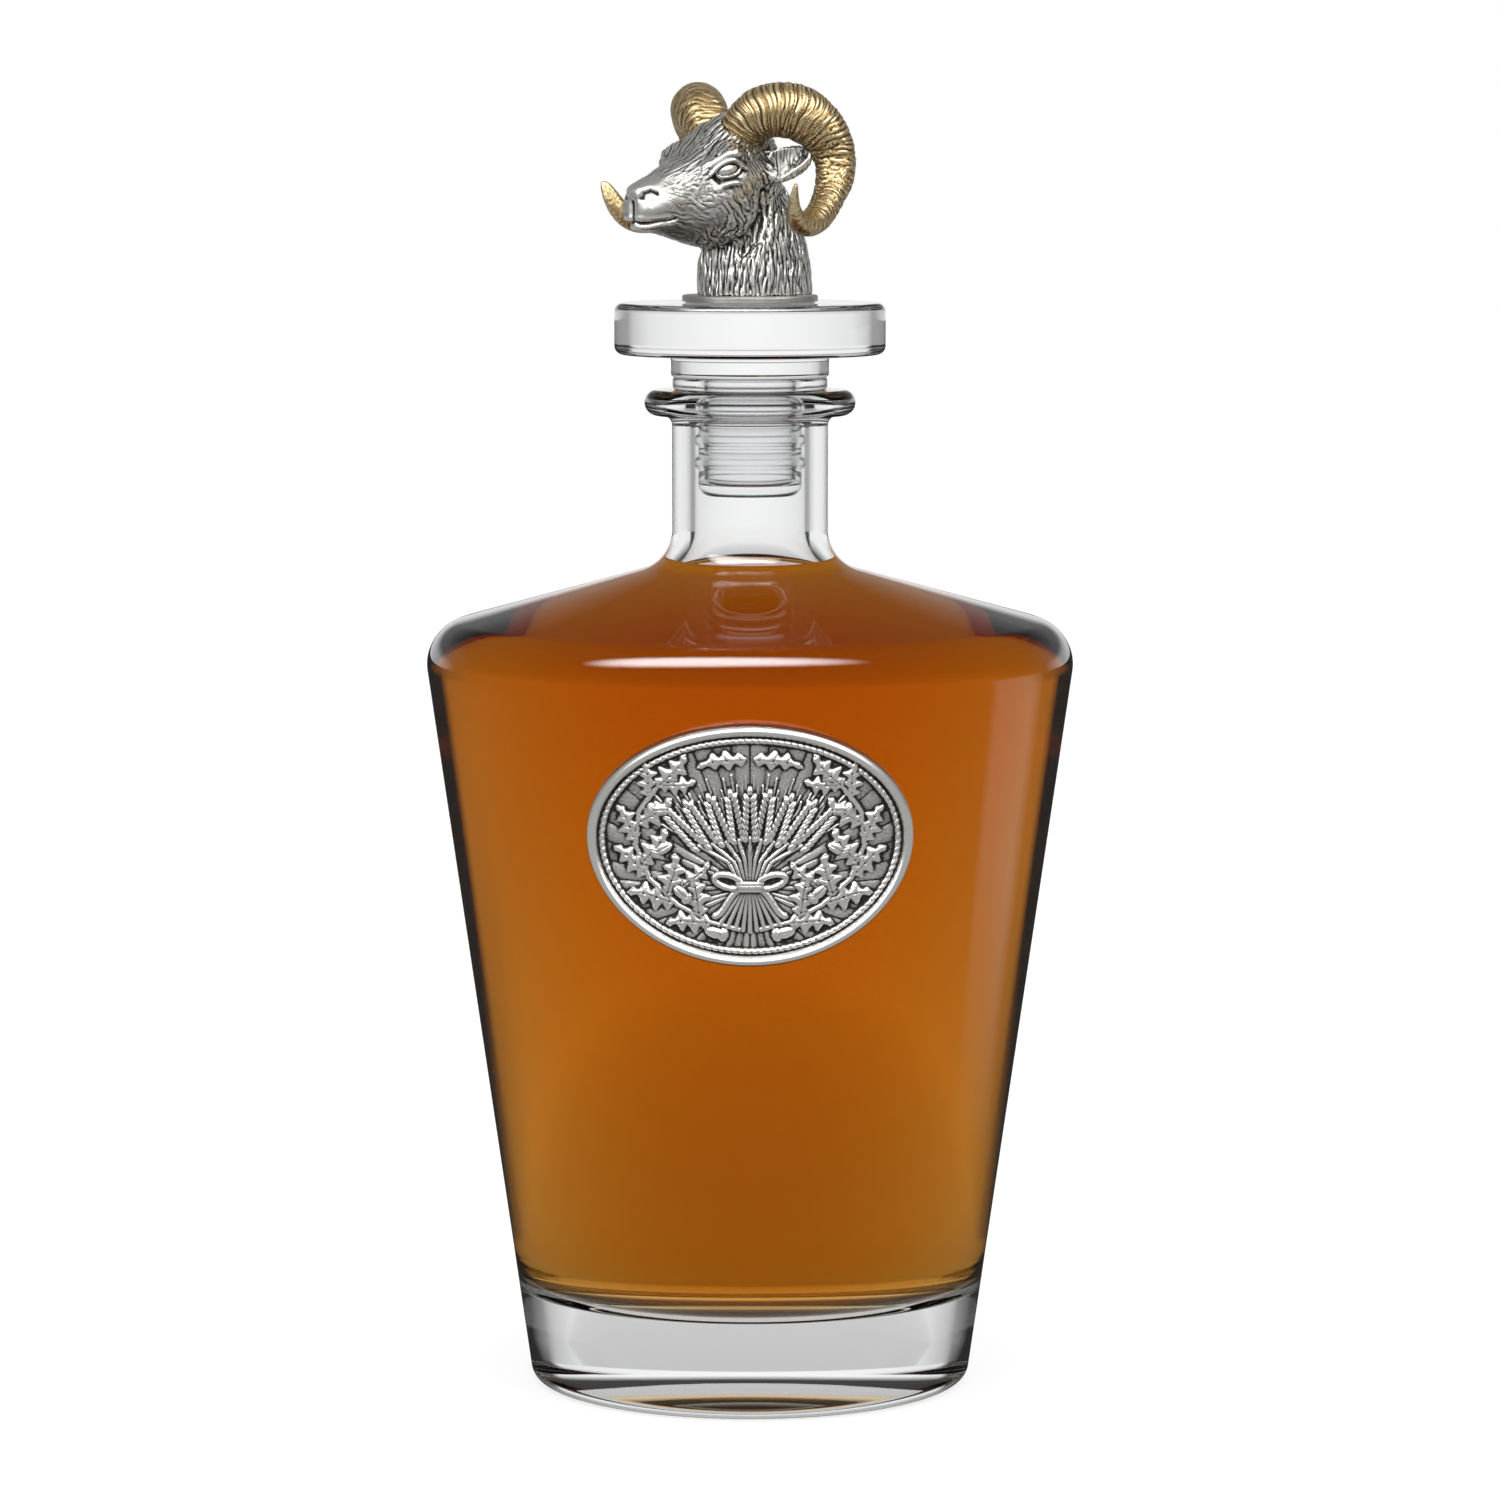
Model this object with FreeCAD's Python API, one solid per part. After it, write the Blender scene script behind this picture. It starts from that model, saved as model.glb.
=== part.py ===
"""Round tapered liquor decanter with a glass stopper, a cast ram's head finial and an oval front medallion.

Millimetres. +Z is up, the origin is on the floor at the centre of the base, and the front faces -Y.
"""

import FreeCAD
import Part
import math
import os
from FreeCAD import Placement, Rotation, Vector

# Bottle: straight tapered body, sloping shoulder, straight neck and a rolled lip, in one piece of glass
BASE_RADIUS = 41.2
SHOULDER_RADIUS = 61.7
SHOULDER_HEIGHT = 142.6
NECK_RADIUS = 14.6
NECK_ROOT_HEIGHT = 155.6
BOTTLE_HEIGHT = 187.8
LIP_RADIUS = 19.75
LIP_THICKNESS = 4.8
BORE_RADIUS = 10.4
WALL = 3.6
BASE_THICKNESS = 18.0
HEEL_FILLET = 3.0
INNER_HEEL_FILLET = 9.0
SHOULDER_FILLET = 8.3
NECK_FILLET = 7.6
LIP_ROOT_FILLET = 2.0
MOUTH_FILLET = 1.0
PUNT_DEPTH = 5.2
REST_RING_WIDTH = 5.0

# Stopper: glass disc, boss and stem, with a moulded sleeve pushed on the stem
DISC_RADIUS = 25.4
DISC_THICKNESS = 9.6
DISC_EDGE_FILLET = 1.6
BOSS_RADIUS = 14.8
BOSS_HEIGHT = 4.2
BOSS_ROOT_FILLET = 1.2
STEM_END_GAP = 0.3
STEM_END_FILLET = 1.5
FLANGE_RADIUS = 14.5
FLANGE_THICKNESS = 2.4
FLANGE_FILLET = 0.6
SLEEVE_LENGTH = 19.8
SLEEVE_WALL = 1.6
SLEEVE_FLOOR = 2.0
SLEEVE_END_FILLET = 2.2
SLEEVE_STANDOFF = 0.7
FIN_COUNT = 2
FIN_DEPTH = 9.2
FIN_PITCH = 4.3
FIN_THICKNESS = 2.4
FIN_FILLET = 0.9
FIN_ROOT_FILLET = 0.25
BORE_CLEARANCE = 0.1
STEM_CLEARANCE = 0.05

# Medallion: curved oval casting with a raised rim, bonded to the front of the body by an adhesive pad
MEDALLION_HEIGHT = 109.0
MEDALLION_HALF_WIDTH = 29.5
MEDALLION_HALF_HEIGHT = 22.3
MEDALLION_PLATE = 1.4
MEDALLION_RIM_HEIGHT = 2.8
MEDALLION_RIM_WIDTH = 1.9
MEDALLION_RIM_FILLET = 0.7
PAD_THICKNESS = 0.4
PAD_INSET = 1.5
PAD_CLEARANCE = 0.03

# Finial: base plate bonded to the disc, head and neck in one casting, two horns set in sockets
FINIAL_BOND = 0.3
FINIAL_BOND_INSET = 0.6
FINIAL_BASE_RADIUS = 12.7
FINIAL_BASE_THICKNESS = 1.2
FINIAL_BASE_FILLET = 0.4
FINIAL_TURN_DEG = 225.0

# Head sections from the back of the skull to the nose, measured from the top of the base plate:
# forward, top, bottom, and the half widths of the crown, of the side at eye level and of the jaw
HEAD_SECTIONS = [
    (-4.5, 27.0, 17.5, 2.6, 4.2, 3.4),
    (-1.0, 31.2, 13.0, 4.4, 7.0, 5.4),
    (4.0, 33.8, 10.0, 5.4, 8.3, 6.6),
    (9.0, 32.9, 8.8, 6.0, 8.9, 7.0),
    (13.0, 30.0, 9.0, 5.6, 8.8, 6.4),
    (17.0, 26.9, 9.8, 4.5, 6.9, 5.2),
    (21.5, 24.4, 11.0, 3.7, 5.5, 4.3),
    (25.6, 22.5, 11.9, 3.4, 4.9, 3.9),
    (27.8, 21.6, 12.2, 2.9, 4.1, 3.4),
    (29.4, 20.7, 12.9, 2.0, 2.7, 2.3),
    (30.3, 19.2, 14.4, 0.9, 1.2, 1.0),
]
CROWN_SHARE = 0.10
SIDE_SHARE = 0.34
JAW_SHARE = 0.82

# Neck sections: height, forward place of the centre, half length, half width
NECK_SECTIONS = [
    (0.0, -1.2, 11.6, 9.6),
    (7.0, -1.0, 11.2, 9.2),
    (14.0, -0.2, 9.8, 8.2),
    (21.0, 1.8, 7.4, 6.6),
]

# Eyeballs and the lower edge of the brow, on the left side of the head: forward, left, height, radius
EYE_PLACE = (13.6, 6.9, 23.4)
EYE_RADIUS = 2.0
BROW_PLACE = (11.8, 5.6, 25.4)
BROW_RADIUS = 3.4

# Left ear from root to tip: forward, left, height, half width, half thickness
EAR_SECTIONS = [
    (4.2, 6.6, 22.8, 2.2, 1.6),
    (2.4, 9.4, 23.9, 3.2, 1.4),
    (1.0, 11.8, 24.9, 3.1, 1.15),
    (-1.1, 15.2, 27.9, 0.6, 0.4),
]

# Left horn from root to tip: forward, left, height, half width, half thickness
HORN_SECTIONS = [
    (6.4, 3.0, 28.5, 4.0, 4.0),
    (6.0, 4.6, 31.0, 4.4, 4.4),
    (5.3, 6.9, 33.3, 4.8, 4.8),
    (3.0, 10.6, 34.4, 5.2, 5.2),
    (-0.2, 13.8, 33.4, 5.2, 5.2),
    (-2.9, 15.9, 30.5, 4.7, 4.7),
    (-4.8, 17.3, 25.8, 4.1, 4.1),
    (-2.5, 18.8, 19.6, 3.4, 3.3),
    (3.0, 20.7, 14.8, 2.9, 2.75),
    (8.6, 22.0, 13.6, 2.5, 2.1),
    (12.0, 23.4, 16.3, 1.9, 1.35),
    (13.8, 25.6, 21.0, 0.5, 0.35),
]
HORN_PARTING = 0.3

# Worked out from the driving sizes
TAPER = math.atan((SHOULDER_RADIUS - BASE_RADIUS) / SHOULDER_HEIGHT)
SLOPE = math.atan((NECK_ROOT_HEIGHT - SHOULDER_HEIGHT) / (SHOULDER_RADIUS - NECK_RADIUS))
DISC_BOTTOM = BOTTLE_HEIGHT + FLANGE_THICKNESS + BOSS_HEIGHT
DISC_TOP = DISC_BOTTOM + DISC_THICKNESS
FINIAL_BASE_BOTTOM = DISC_TOP + FINIAL_BOND
FINIAL_TOP = FINIAL_BASE_BOTTOM + FINIAL_BASE_THICKNESS
MEDALLION_BACK = PAD_THICKNESS + 2 * PAD_CLEARANCE
SLEEVE_CORE_RADIUS = BORE_RADIUS - SLEEVE_STANDOFF
SLEEVE_HOLE_RADIUS = SLEEVE_CORE_RADIUS - SLEEVE_WALL
STEM_RADIUS = SLEEVE_HOLE_RADIUS - STEM_CLEARANCE
UP = Vector(0, 0, 1)
ORIGIN = Vector(0, 0, 0)


def rounded_outline(corners):
    """Closed outline in the XZ plane through (radius, height, fillet) corners, each rounded by its fillet."""
    points = [Vector(radius, 0, height) for radius, height, _ in corners]
    joints = []
    for index, (corner, (_, _, fillet)) in enumerate(zip(points, corners)):
        before = (points[index - 1] - corner).normalize()
        after = (points[(index + 1) % len(points)] - corner).normalize()
        if fillet == 0:
            joints.append((corner, None, corner))
            continue
        half_angle = before.getAngle(after) / 2
        reach = fillet / math.tan(half_angle)
        middle = corner + (before + after).normalize() * (fillet / math.sin(half_angle) - fillet)
        joints.append((corner + before * reach, middle, corner + after * reach))
    edges = []
    for index, (start, middle, end) in enumerate(joints):
        last_end = joints[index - 1][2]
        if last_end.distanceToPoint(start) > 1e-6:
            edges.append(Part.makeLine(last_end, start))
        if middle is not None:
            edges.append(Part.Arc(start, middle, end).toShape())
    return Part.Wire(Part.__sortEdges__(edges))


def turned(corners):
    """Solid of revolution about the Z axis."""
    return Part.Face(rounded_outline(corners)).revolve(ORIGIN, UP, 360)


def body_radius(height, inset=0.0):
    """Radius of the tapered body at a height, moved inwards square to the wall."""
    return BASE_RADIUS + height * math.tan(TAPER) - inset / math.cos(TAPER)


def shoulder_height(radius, inset=0.0):
    """Height of the sloping shoulder at a radius, moved inwards square to the wall."""
    return NECK_ROOT_HEIGHT - (radius - NECK_RADIUS) * math.tan(SLOPE) - inset / math.cos(SLOPE)


def make_bottle():
    lip_bottom = BOTTLE_HEIGHT - LIP_THICKNESS
    lip_fillet = 0.48 * LIP_THICKNESS
    inner_shoulder_radius = (
        body_radius(0, WALL) + shoulder_height(0, WALL) * math.tan(TAPER)
    ) / (1 + math.tan(SLOPE) * math.tan(TAPER))
    inner_shoulder_height = shoulder_height(inner_shoulder_radius, WALL)
    inner_shoulder_fillet = max(SHOULDER_FILLET - WALL, MOUTH_FILLET)
    inner_neck_fillet = NECK_FILLET + NECK_RADIUS - BORE_RADIUS
    glass = turned([
        (0, 0, 0),
        (BASE_RADIUS, 0, HEEL_FILLET),
        (SHOULDER_RADIUS, SHOULDER_HEIGHT, SHOULDER_FILLET),
        (NECK_RADIUS, NECK_ROOT_HEIGHT, NECK_FILLET),
        (NECK_RADIUS, lip_bottom, LIP_ROOT_FILLET),
        (LIP_RADIUS, lip_bottom, lip_fillet),
        (LIP_RADIUS, BOTTLE_HEIGHT, lip_fillet),
        (BORE_RADIUS, BOTTLE_HEIGHT, MOUTH_FILLET),
        (BORE_RADIUS, shoulder_height(BORE_RADIUS, WALL), inner_neck_fillet),
        (inner_shoulder_radius, inner_shoulder_height, inner_shoulder_fillet),
        (body_radius(BASE_THICKNESS, WALL), BASE_THICKNESS, INNER_HEEL_FILLET),
        (0, BASE_THICKNESS, 0),
    ])
    punt_radius = BASE_RADIUS - HEEL_FILLET - REST_RING_WIDTH
    sphere_radius = (punt_radius ** 2 + PUNT_DEPTH ** 2) / (2 * PUNT_DEPTH)
    punt = Part.makeSphere(sphere_radius, Vector(0, 0, PUNT_DEPTH - sphere_radius))
    return glass.cut(punt)


def make_stopper_glass():
    stem_bottom = BOTTLE_HEIGHT - SLEEVE_LENGTH + SLEEVE_FLOOR + STEM_END_GAP
    boss_bottom = BOTTLE_HEIGHT + FLANGE_THICKNESS
    return turned([
        (0, stem_bottom, 0),
        (STEM_RADIUS, stem_bottom, STEM_END_FILLET),
        (STEM_RADIUS, boss_bottom, 0),
        (BOSS_RADIUS, boss_bottom, FLANGE_FILLET),
        (BOSS_RADIUS, DISC_BOTTOM, BOSS_ROOT_FILLET),
        (DISC_RADIUS, DISC_BOTTOM, DISC_EDGE_FILLET),
        (DISC_RADIUS, DISC_TOP, DISC_EDGE_FILLET),
        (0, DISC_TOP, 0),
    ])


def make_stopper_sleeve():
    bottom = BOTTLE_HEIGHT - SLEEVE_LENGTH
    flange_top = BOTTLE_HEIGHT + FLANGE_THICKNESS
    fin_radius = BORE_RADIUS - BORE_CLEARANCE
    outside = [
        (FLANGE_RADIUS, flange_top, FLANGE_FILLET),
        (FLANGE_RADIUS, BOTTLE_HEIGHT, FLANGE_FILLET),
        (SLEEVE_CORE_RADIUS, BOTTLE_HEIGHT, FIN_ROOT_FILLET),
    ]
    for fin in range(FIN_COUNT):
        fin_top = BOTTLE_HEIGHT - FIN_DEPTH - fin * FIN_PITCH + FIN_THICKNESS / 2
        fin_bottom = fin_top - FIN_THICKNESS
        outside += [
            (SLEEVE_CORE_RADIUS, fin_top, 0),
            (fin_radius, fin_top - FIN_FILLET / 2, FIN_FILLET / 2),
            (fin_radius, fin_bottom + FIN_FILLET / 2, FIN_FILLET / 2),
            (SLEEVE_CORE_RADIUS, fin_bottom, 0),
        ]
    outside += [
        (SLEEVE_CORE_RADIUS, bottom, SLEEVE_END_FILLET),
        (0, bottom, 0),
        (0, bottom + SLEEVE_FLOOR, 0),
        (SLEEVE_HOLE_RADIUS, bottom + SLEEVE_FLOOR, STEM_END_FILLET),
        (SLEEVE_HOLE_RADIUS, flange_top, 0),
    ]
    return turned(outside)


def body_cone(offset):
    """Solid cone of the body's taper, proud of the glass by an offset, over the medallion's height."""
    low = MEDALLION_HEIGHT - 2 * MEDALLION_HALF_HEIGHT
    high = MEDALLION_HEIGHT + 2 * MEDALLION_HALF_HEIGHT
    return Part.makeCone(body_radius(low, -offset), body_radius(high, -offset), high - low, Vector(0, 0, low))


def lies_on_cone(edge, offset):
    """True for an edge that runs on the body's cone at an offset."""
    for share in (0.2, 0.5, 0.8):
        point = edge.valueAt(edge.FirstParameter + share * (edge.LastParameter - edge.FirstParameter))
        if abs(math.hypot(point.x, point.y) - body_radius(point.z, -offset)) > 0.001:
            return False
    return True


def medallion_prism(inset):
    """Oval prism through the front of the body, square to the glass at the medallion's centre."""
    half_width = MEDALLION_HALF_WIDTH - inset
    half_height = MEDALLION_HALF_HEIGHT - inset
    oval = Part.Wire(Part.Ellipse(ORIGIN, half_width, half_height).toShape())
    prism = Part.Face(oval).extrude(Vector(0, 0, 2 * MEDALLION_HALF_WIDTH))
    prism.translate(Vector(0, 0, -MEDALLION_HALF_WIDTH))
    facing = Rotation(Vector(1, 0, 0), 90 + math.degrees(TAPER))
    prism.Placement = Placement(
        Vector(0, -body_radius(MEDALLION_HEIGHT), MEDALLION_HEIGHT), facing
    ).multiply(prism.Placement)
    return prism


def make_medallion_pad():
    shell = body_cone(PAD_CLEARANCE + PAD_THICKNESS).cut(body_cone(PAD_CLEARANCE))
    return shell.common(medallion_prism(PAD_INSET))


def make_medallion():
    back = body_cone(MEDALLION_BACK)
    plate = body_cone(MEDALLION_BACK + MEDALLION_PLATE).cut(back).common(medallion_prism(0))
    ring = medallion_prism(0).cut(medallion_prism(MEDALLION_RIM_WIDTH))
    rim_top = MEDALLION_BACK + MEDALLION_RIM_HEIGHT
    rim = body_cone(rim_top).cut(back).common(ring)
    rim = rim.makeFillet(MEDALLION_RIM_FILLET, [edge for edge in rim.Edges if lies_on_cone(edge, rim_top)])
    return plate.fuse(rim).removeSplitter()


def make_finial_bond():
    radius = FINIAL_BASE_RADIUS - FINIAL_BOND_INSET
    return Part.makeCylinder(radius, FINIAL_BOND, Vector(0, 0, DISC_TOP))


def make_finial_base():
    return turned([
        (0, FINIAL_BASE_BOTTOM, 0),
        (FINIAL_BASE_RADIUS, FINIAL_BASE_BOTTOM, 0),
        (FINIAL_BASE_RADIUS, FINIAL_TOP, FINIAL_BASE_FILLET),
        (0, FINIAL_TOP, 0),
    ])


def closed_curve(points):
    """Smooth closed curve through the points."""
    curve = Part.BSplineCurve()
    curve.interpolate(points, PeriodicFlag=True)
    return Part.Wire(curve.toShape())


def head_section(forward, top, bottom, crown_half, side_half, jaw_half):
    """Upright section across the head, the same on both sides."""
    crown = top - CROWN_SHARE * (top - bottom)
    side = top - SIDE_SHARE * (top - bottom)
    jaw = top - JAW_SHARE * (top - bottom)
    return closed_curve([
        Vector(forward, 0, top),
        Vector(forward, crown_half, crown),
        Vector(forward, side_half, side),
        Vector(forward, jaw_half, jaw),
        Vector(forward, 0, bottom),
        Vector(forward, -jaw_half, jaw),
        Vector(forward, -side_half, side),
        Vector(forward, -crown_half, crown),
    ])


def oval_wire(centre, axis, wide_direction, half_wide, half_thin):
    """Oval, or a circle where both halves are equal, square to an axis."""
    flat = Placement(centre, Rotation(wide_direction, axis.cross(wide_direction), axis, "ZXY"))
    if half_wide > half_thin:
        oval = Part.Ellipse(ORIGIN, half_wide, half_thin).toShape()
    else:
        oval = Part.makeCircle(half_wide)
    oval.Placement = flat
    return Part.Wire(oval)


def along(points, index):
    """Direction of a line of points at one of them."""
    before = points[max(index - 1, 0)]
    after = points[min(index + 1, len(points) - 1)]
    return (after - before).normalize()


def make_horn(side):
    """Curled horn on the left, side +1, or on the right, side -1, with its root inside the skull."""
    centres = [Vector(forward, side * left, height) for forward, left, height, _, _ in HORN_SECTIONS]
    outwards = Vector(1, side, 0)
    rings = []
    for index, centre in enumerate(centres):
        _, _, _, half_wide, half_thin = HORN_SECTIONS[index]
        rings.append(oval_wire(centre, along(centres, index), outwards, half_wide, half_thin))
    horn = Part.makeLoft(rings, True, False)
    reach = 4 * FINIAL_BASE_RADIUS
    other_side = Part.makeBox(2 * reach, reach, 2 * reach, Vector(-reach, -reach, -reach))
    other_side.translate(Vector(0, HORN_PARTING / 2, 0))
    if side < 0:
        other_side = other_side.mirror(ORIGIN, Vector(0, 1, 0))
    return horn.cut(other_side)


def make_ear(side):
    centres = [Vector(forward, side * left, height) for forward, left, height, _, _ in EAR_SECTIONS]
    rings = []
    for index, centre in enumerate(centres):
        _, _, _, half_wide, half_thin = EAR_SECTIONS[index]
        rings.append(oval_wire(centre, along(centres, index), UP, half_wide, half_thin))
    return Part.makeLoft(rings, True, False)


def make_ball(place, radius, side):
    forward, left, height = place
    return Part.makeSphere(radius, Vector(forward, side * left, height))


def make_ram_head(horns):
    skull = Part.makeLoft([head_section(*section) for section in HEAD_SECTIONS], True, False)
    neck_rings = []
    for height, forward, half_length, half_width in NECK_SECTIONS:
        neck_rings.append(oval_wire(Vector(forward, 0, height), UP, Vector(1, 0, 0), half_length, half_width))
    head = skull.fuse(Part.makeLoft(neck_rings, True, False))
    for side in (1, -1):
        head = head.fuse(make_ear(side))
        head = head.fuse(make_ball(BROW_PLACE, BROW_RADIUS, side))
        head = head.fuse(make_ball(EYE_PLACE, EYE_RADIUS, side))
    for horn in horns:
        head = head.cut(horn)
    return head


def on_finial(shape):
    """Moves a piece from the head's own frame, forward along +X, to its place on the stopper."""
    on_plate = Placement(Vector(0, 0, FINIAL_TOP), Rotation(UP, FINIAL_TURN_DEG))
    shape.Placement = on_plate.multiply(shape.Placement)
    return shape


def main():
    os.makedirs("parts", exist_ok=True)
    left_horn = make_horn(1)
    right_horn = make_horn(-1)
    pieces = {
        "bottle": make_bottle(),
        "medallion_pad": make_medallion_pad(),
        "medallion": make_medallion(),
        "stopper_sleeve": make_stopper_sleeve(),
        "stopper_glass": make_stopper_glass(),
        "finial_bond": make_finial_bond(),
        "finial_base": make_finial_base(),
        "ram_head": on_finial(make_ram_head([left_horn, right_horn])),
        "ram_horn_left": on_finial(left_horn),
        "ram_horn_right": on_finial(right_horn),
    }
    for name, shape in pieces.items():
        shape.exportStep(f"parts/{name}.step")
        print(name, "solids", len(shape.Solids), "valid", shape.isValid(), "volume", round(shape.Volume, 1))


main()
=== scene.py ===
import bpy
import bmesh
import math
import numpy as np
from mathutils import Matrix, Vector, noise


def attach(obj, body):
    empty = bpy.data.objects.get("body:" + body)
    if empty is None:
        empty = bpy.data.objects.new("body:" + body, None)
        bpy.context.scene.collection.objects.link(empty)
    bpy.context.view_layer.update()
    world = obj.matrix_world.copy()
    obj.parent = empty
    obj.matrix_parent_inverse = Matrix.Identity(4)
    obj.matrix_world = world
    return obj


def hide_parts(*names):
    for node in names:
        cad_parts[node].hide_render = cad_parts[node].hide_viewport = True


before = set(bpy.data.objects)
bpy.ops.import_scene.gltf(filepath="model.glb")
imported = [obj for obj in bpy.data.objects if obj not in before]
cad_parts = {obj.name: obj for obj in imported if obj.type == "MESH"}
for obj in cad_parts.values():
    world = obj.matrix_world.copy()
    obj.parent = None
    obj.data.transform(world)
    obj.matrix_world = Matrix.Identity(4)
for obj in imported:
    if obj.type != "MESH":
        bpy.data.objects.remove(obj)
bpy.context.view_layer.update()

# Bottle
# One piece of thick clear glass, blown in a mould: tapered body on a heavy base, sloping shoulder, straight
# neck and a rolled lip. It stands on a narrow ring round a push-up and carries all the other pieces.
MM = 0.001
BASE_RADIUS = 41.2
SHOULDER_RADIUS = 61.7
SHOULDER_HEIGHT = 142.6
NECK_RADIUS = 14.6
NECK_ROOT_HEIGHT = 155.6
BOTTLE_HEIGHT = 187.8
LIP_RADIUS = 19.75
LIP_THICKNESS = 4.8
BORE_RADIUS = 10.4
WALL = 3.6
FLOOR_HEIGHT = 18.0
REST_RING_RADIUS = 33.2
PUSH_UP = 5.2
PUSH_UP_STEPS = 8
HEEL_FILLET = 3.0
SHOULDER_FILLET = 8.3
NECK_ROOT_FILLET = 7.6
LIP_ROOT_FILLET = 2.0
LIP_FILLET = 2.3
MOUTH_FILLET = 1.0
INNER_NECK_FILLET = 11.8
INNER_SHOULDER_FILLET = 4.7
INNER_HEEL_FILLET = 9.0
FILLET_ARC = math.radians(5)
LEAST_SEGMENTS = 5
LONGEST_EDGE = 4.0
MERGE_DISTANCE = 0.002
TAPER = math.atan((SHOULDER_RADIUS - BASE_RADIUS) / SHOULDER_HEIGHT)
SLOPE = math.atan((NECK_ROOT_HEIGHT - SHOULDER_HEIGHT) / (SHOULDER_RADIUS - NECK_RADIUS))
GLASS_WAVES = 28
GLASS_WAVE_HEIGHT = 0.4
GLASS_LOOK = {"Base_Color": (0.985, 0.99, 0.99, 1), "Roughness": 0.0, "IOR": 1.51, "Transmission_Weight": 1.0}


def body_radius(height, inset=0.0):
    """Radius of the tapered wall at a height, moved inwards square to the wall."""
    return BASE_RADIUS + height * math.tan(TAPER) - inset / math.cos(TAPER)


def shoulder_height(radius, inset=0.0):
    """Height of the sloping shoulder at a radius, moved inwards square to the wall."""
    return NECK_ROOT_HEIGHT - (radius - NECK_RADIUS) * math.tan(SLOPE) - inset / math.cos(SLOPE)


def inside_outline(inset):
    """Corners of the cavity from the bore down to the floor: radius, height, fillet."""
    slopes = math.tan(SLOPE) * math.tan(TAPER)
    corner_radius = (body_radius(0, inset) + shoulder_height(0, inset) * math.tan(TAPER)) / (1 + slopes)
    bore = BORE_RADIUS + WALL - inset
    floor = FLOOR_HEIGHT - WALL + inset
    return [
        (bore, shoulder_height(bore, inset), INNER_NECK_FILLET),
        (corner_radius, shoulder_height(corner_radius, inset), INNER_SHOULDER_FILLET),
        (body_radius(floor, inset), floor, INNER_HEEL_FILLET),
        (0, floor, 0),
    ]


def turned(outline, steps=192):
    """Rounds the corners (radius, height, fillet) of an outline in millimetres and spins it on the axis."""
    shell = bmesh.new()
    corners = [shell.verts.new((radius * MM, 0, height * MM)) for radius, height, _ in outline]
    for first, second in zip(corners, corners[1:]):
        shell.edges.new((first, second))
    places = [corner.co.copy() for corner in corners]
    for index in range(1, len(outline) - 1):
        fillet = outline[index][2] * MM
        if fillet > 0:
            before = places[index - 1] - places[index]
            after = places[index + 1] - places[index]
            half_angle = before.angle(after) / 2
            turn = math.pi - 2 * half_angle
            segments = max(LEAST_SEGMENTS, round(turn / FILLET_ARC))
            bmesh.ops.bevel(shell, geom=[corners[index]], offset=fillet / math.tan(half_angle),
                            offset_type="OFFSET", segments=segments, profile=0.5, affect="VERTICES",
                            material=-1)
    for edge in shell.edges[:]:
        cuts = int(edge.calc_length() / (LONGEST_EDGE * MM))
        if cuts:
            bmesh.ops.subdivide_edges(shell, edges=[edge], cuts=cuts)
    bmesh.ops.spin(shell, geom=shell.verts[:] + shell.edges[:], axis=(0, 0, 1), cent=(0, 0, 0),
                   angle=2 * math.pi, steps=steps, use_merge=True)
    bmesh.ops.remove_doubles(shell, verts=shell.verts[:], dist=MERGE_DISTANCE * MM)
    bmesh.ops.recalc_face_normals(shell, faces=shell.faces[:])
    return shell


def finished(name, shell, material):
    """Turns a bmesh into a smooth shaded piece."""
    for face in shell.faces:
        face.smooth = True
    mesh = bpy.data.meshes.new(name)
    shell.to_mesh(mesh)
    shell.free()
    mesh.materials.append(material)
    piece = bpy.data.objects.new(name, mesh)
    bpy.context.scene.collection.objects.link(piece)
    return piece


def with_values(node, values):
    """Sets plain values on a node's own sockets."""
    for socket, value in values.items():
        node.inputs[socket.replace("_", " ")].default_value = value
    return node


def placed(nodes, kind, **values):
    """Adds a node that has plain values on its own sockets."""
    return with_values(nodes.new(kind), values)


def new_material(name, **values):
    """Material with one Principled BSDF that has plain values on its own sockets."""
    material = bpy.data.materials.new(name)
    material.use_nodes = True
    shader = with_values(material.node_tree.nodes["Principled BSDF"], values)
    return material, material.node_tree.nodes, material.node_tree.links, shader


def new_group(name, inputs, outputs):
    """Empty shader group with named numbers going in and named outputs, and the nodes at its two ends."""
    group = bpy.data.node_groups.new(name, "ShaderNodeTree")
    for socket in inputs:
        group.interface.new_socket(name=socket, in_out="INPUT", socket_type="NodeSocketFloat")
    for socket, kind in outputs.items():
        group.interface.new_socket(name=socket, in_out="OUTPUT", socket_type=kind)
    return group, group.nodes.new("NodeGroupInput"), group.nodes.new("NodeGroupOutput")


moulded, given, result = new_group("moulded_surface", ("Scale", "Height"), {"Normal": "NodeSocketVector"})
place = moulded.nodes.new("ShaderNodeTexCoord")
waves = placed(moulded.nodes, "ShaderNodeTexNoise", Detail=1)
bump = placed(moulded.nodes, "ShaderNodeBump", Strength=0.12)
moulded.links.new(place.outputs["Object"], waves.inputs["Vector"])
moulded.links.new(given.outputs["Scale"], waves.inputs["Scale"])
moulded.links.new(given.outputs["Height"], bump.inputs["Distance"])
moulded.links.new(waves.outputs["Fac"], bump.inputs["Height"])
moulded.links.new(bump.outputs["Normal"], result.inputs["Normal"])


def moulded_material(name, scale, height, **values):
    """Material with the faint waves of a moulded surface, so many to the metre, so high in millimetres."""
    material, nodes, links, shader = new_material(name, **values)
    surface = nodes.new("ShaderNodeGroup")
    surface.node_tree = moulded
    with_values(surface, {"Scale": scale, "Height": height * MM})
    links.new(surface.outputs["Normal"], shader.inputs["Normal"])
    return material


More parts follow.
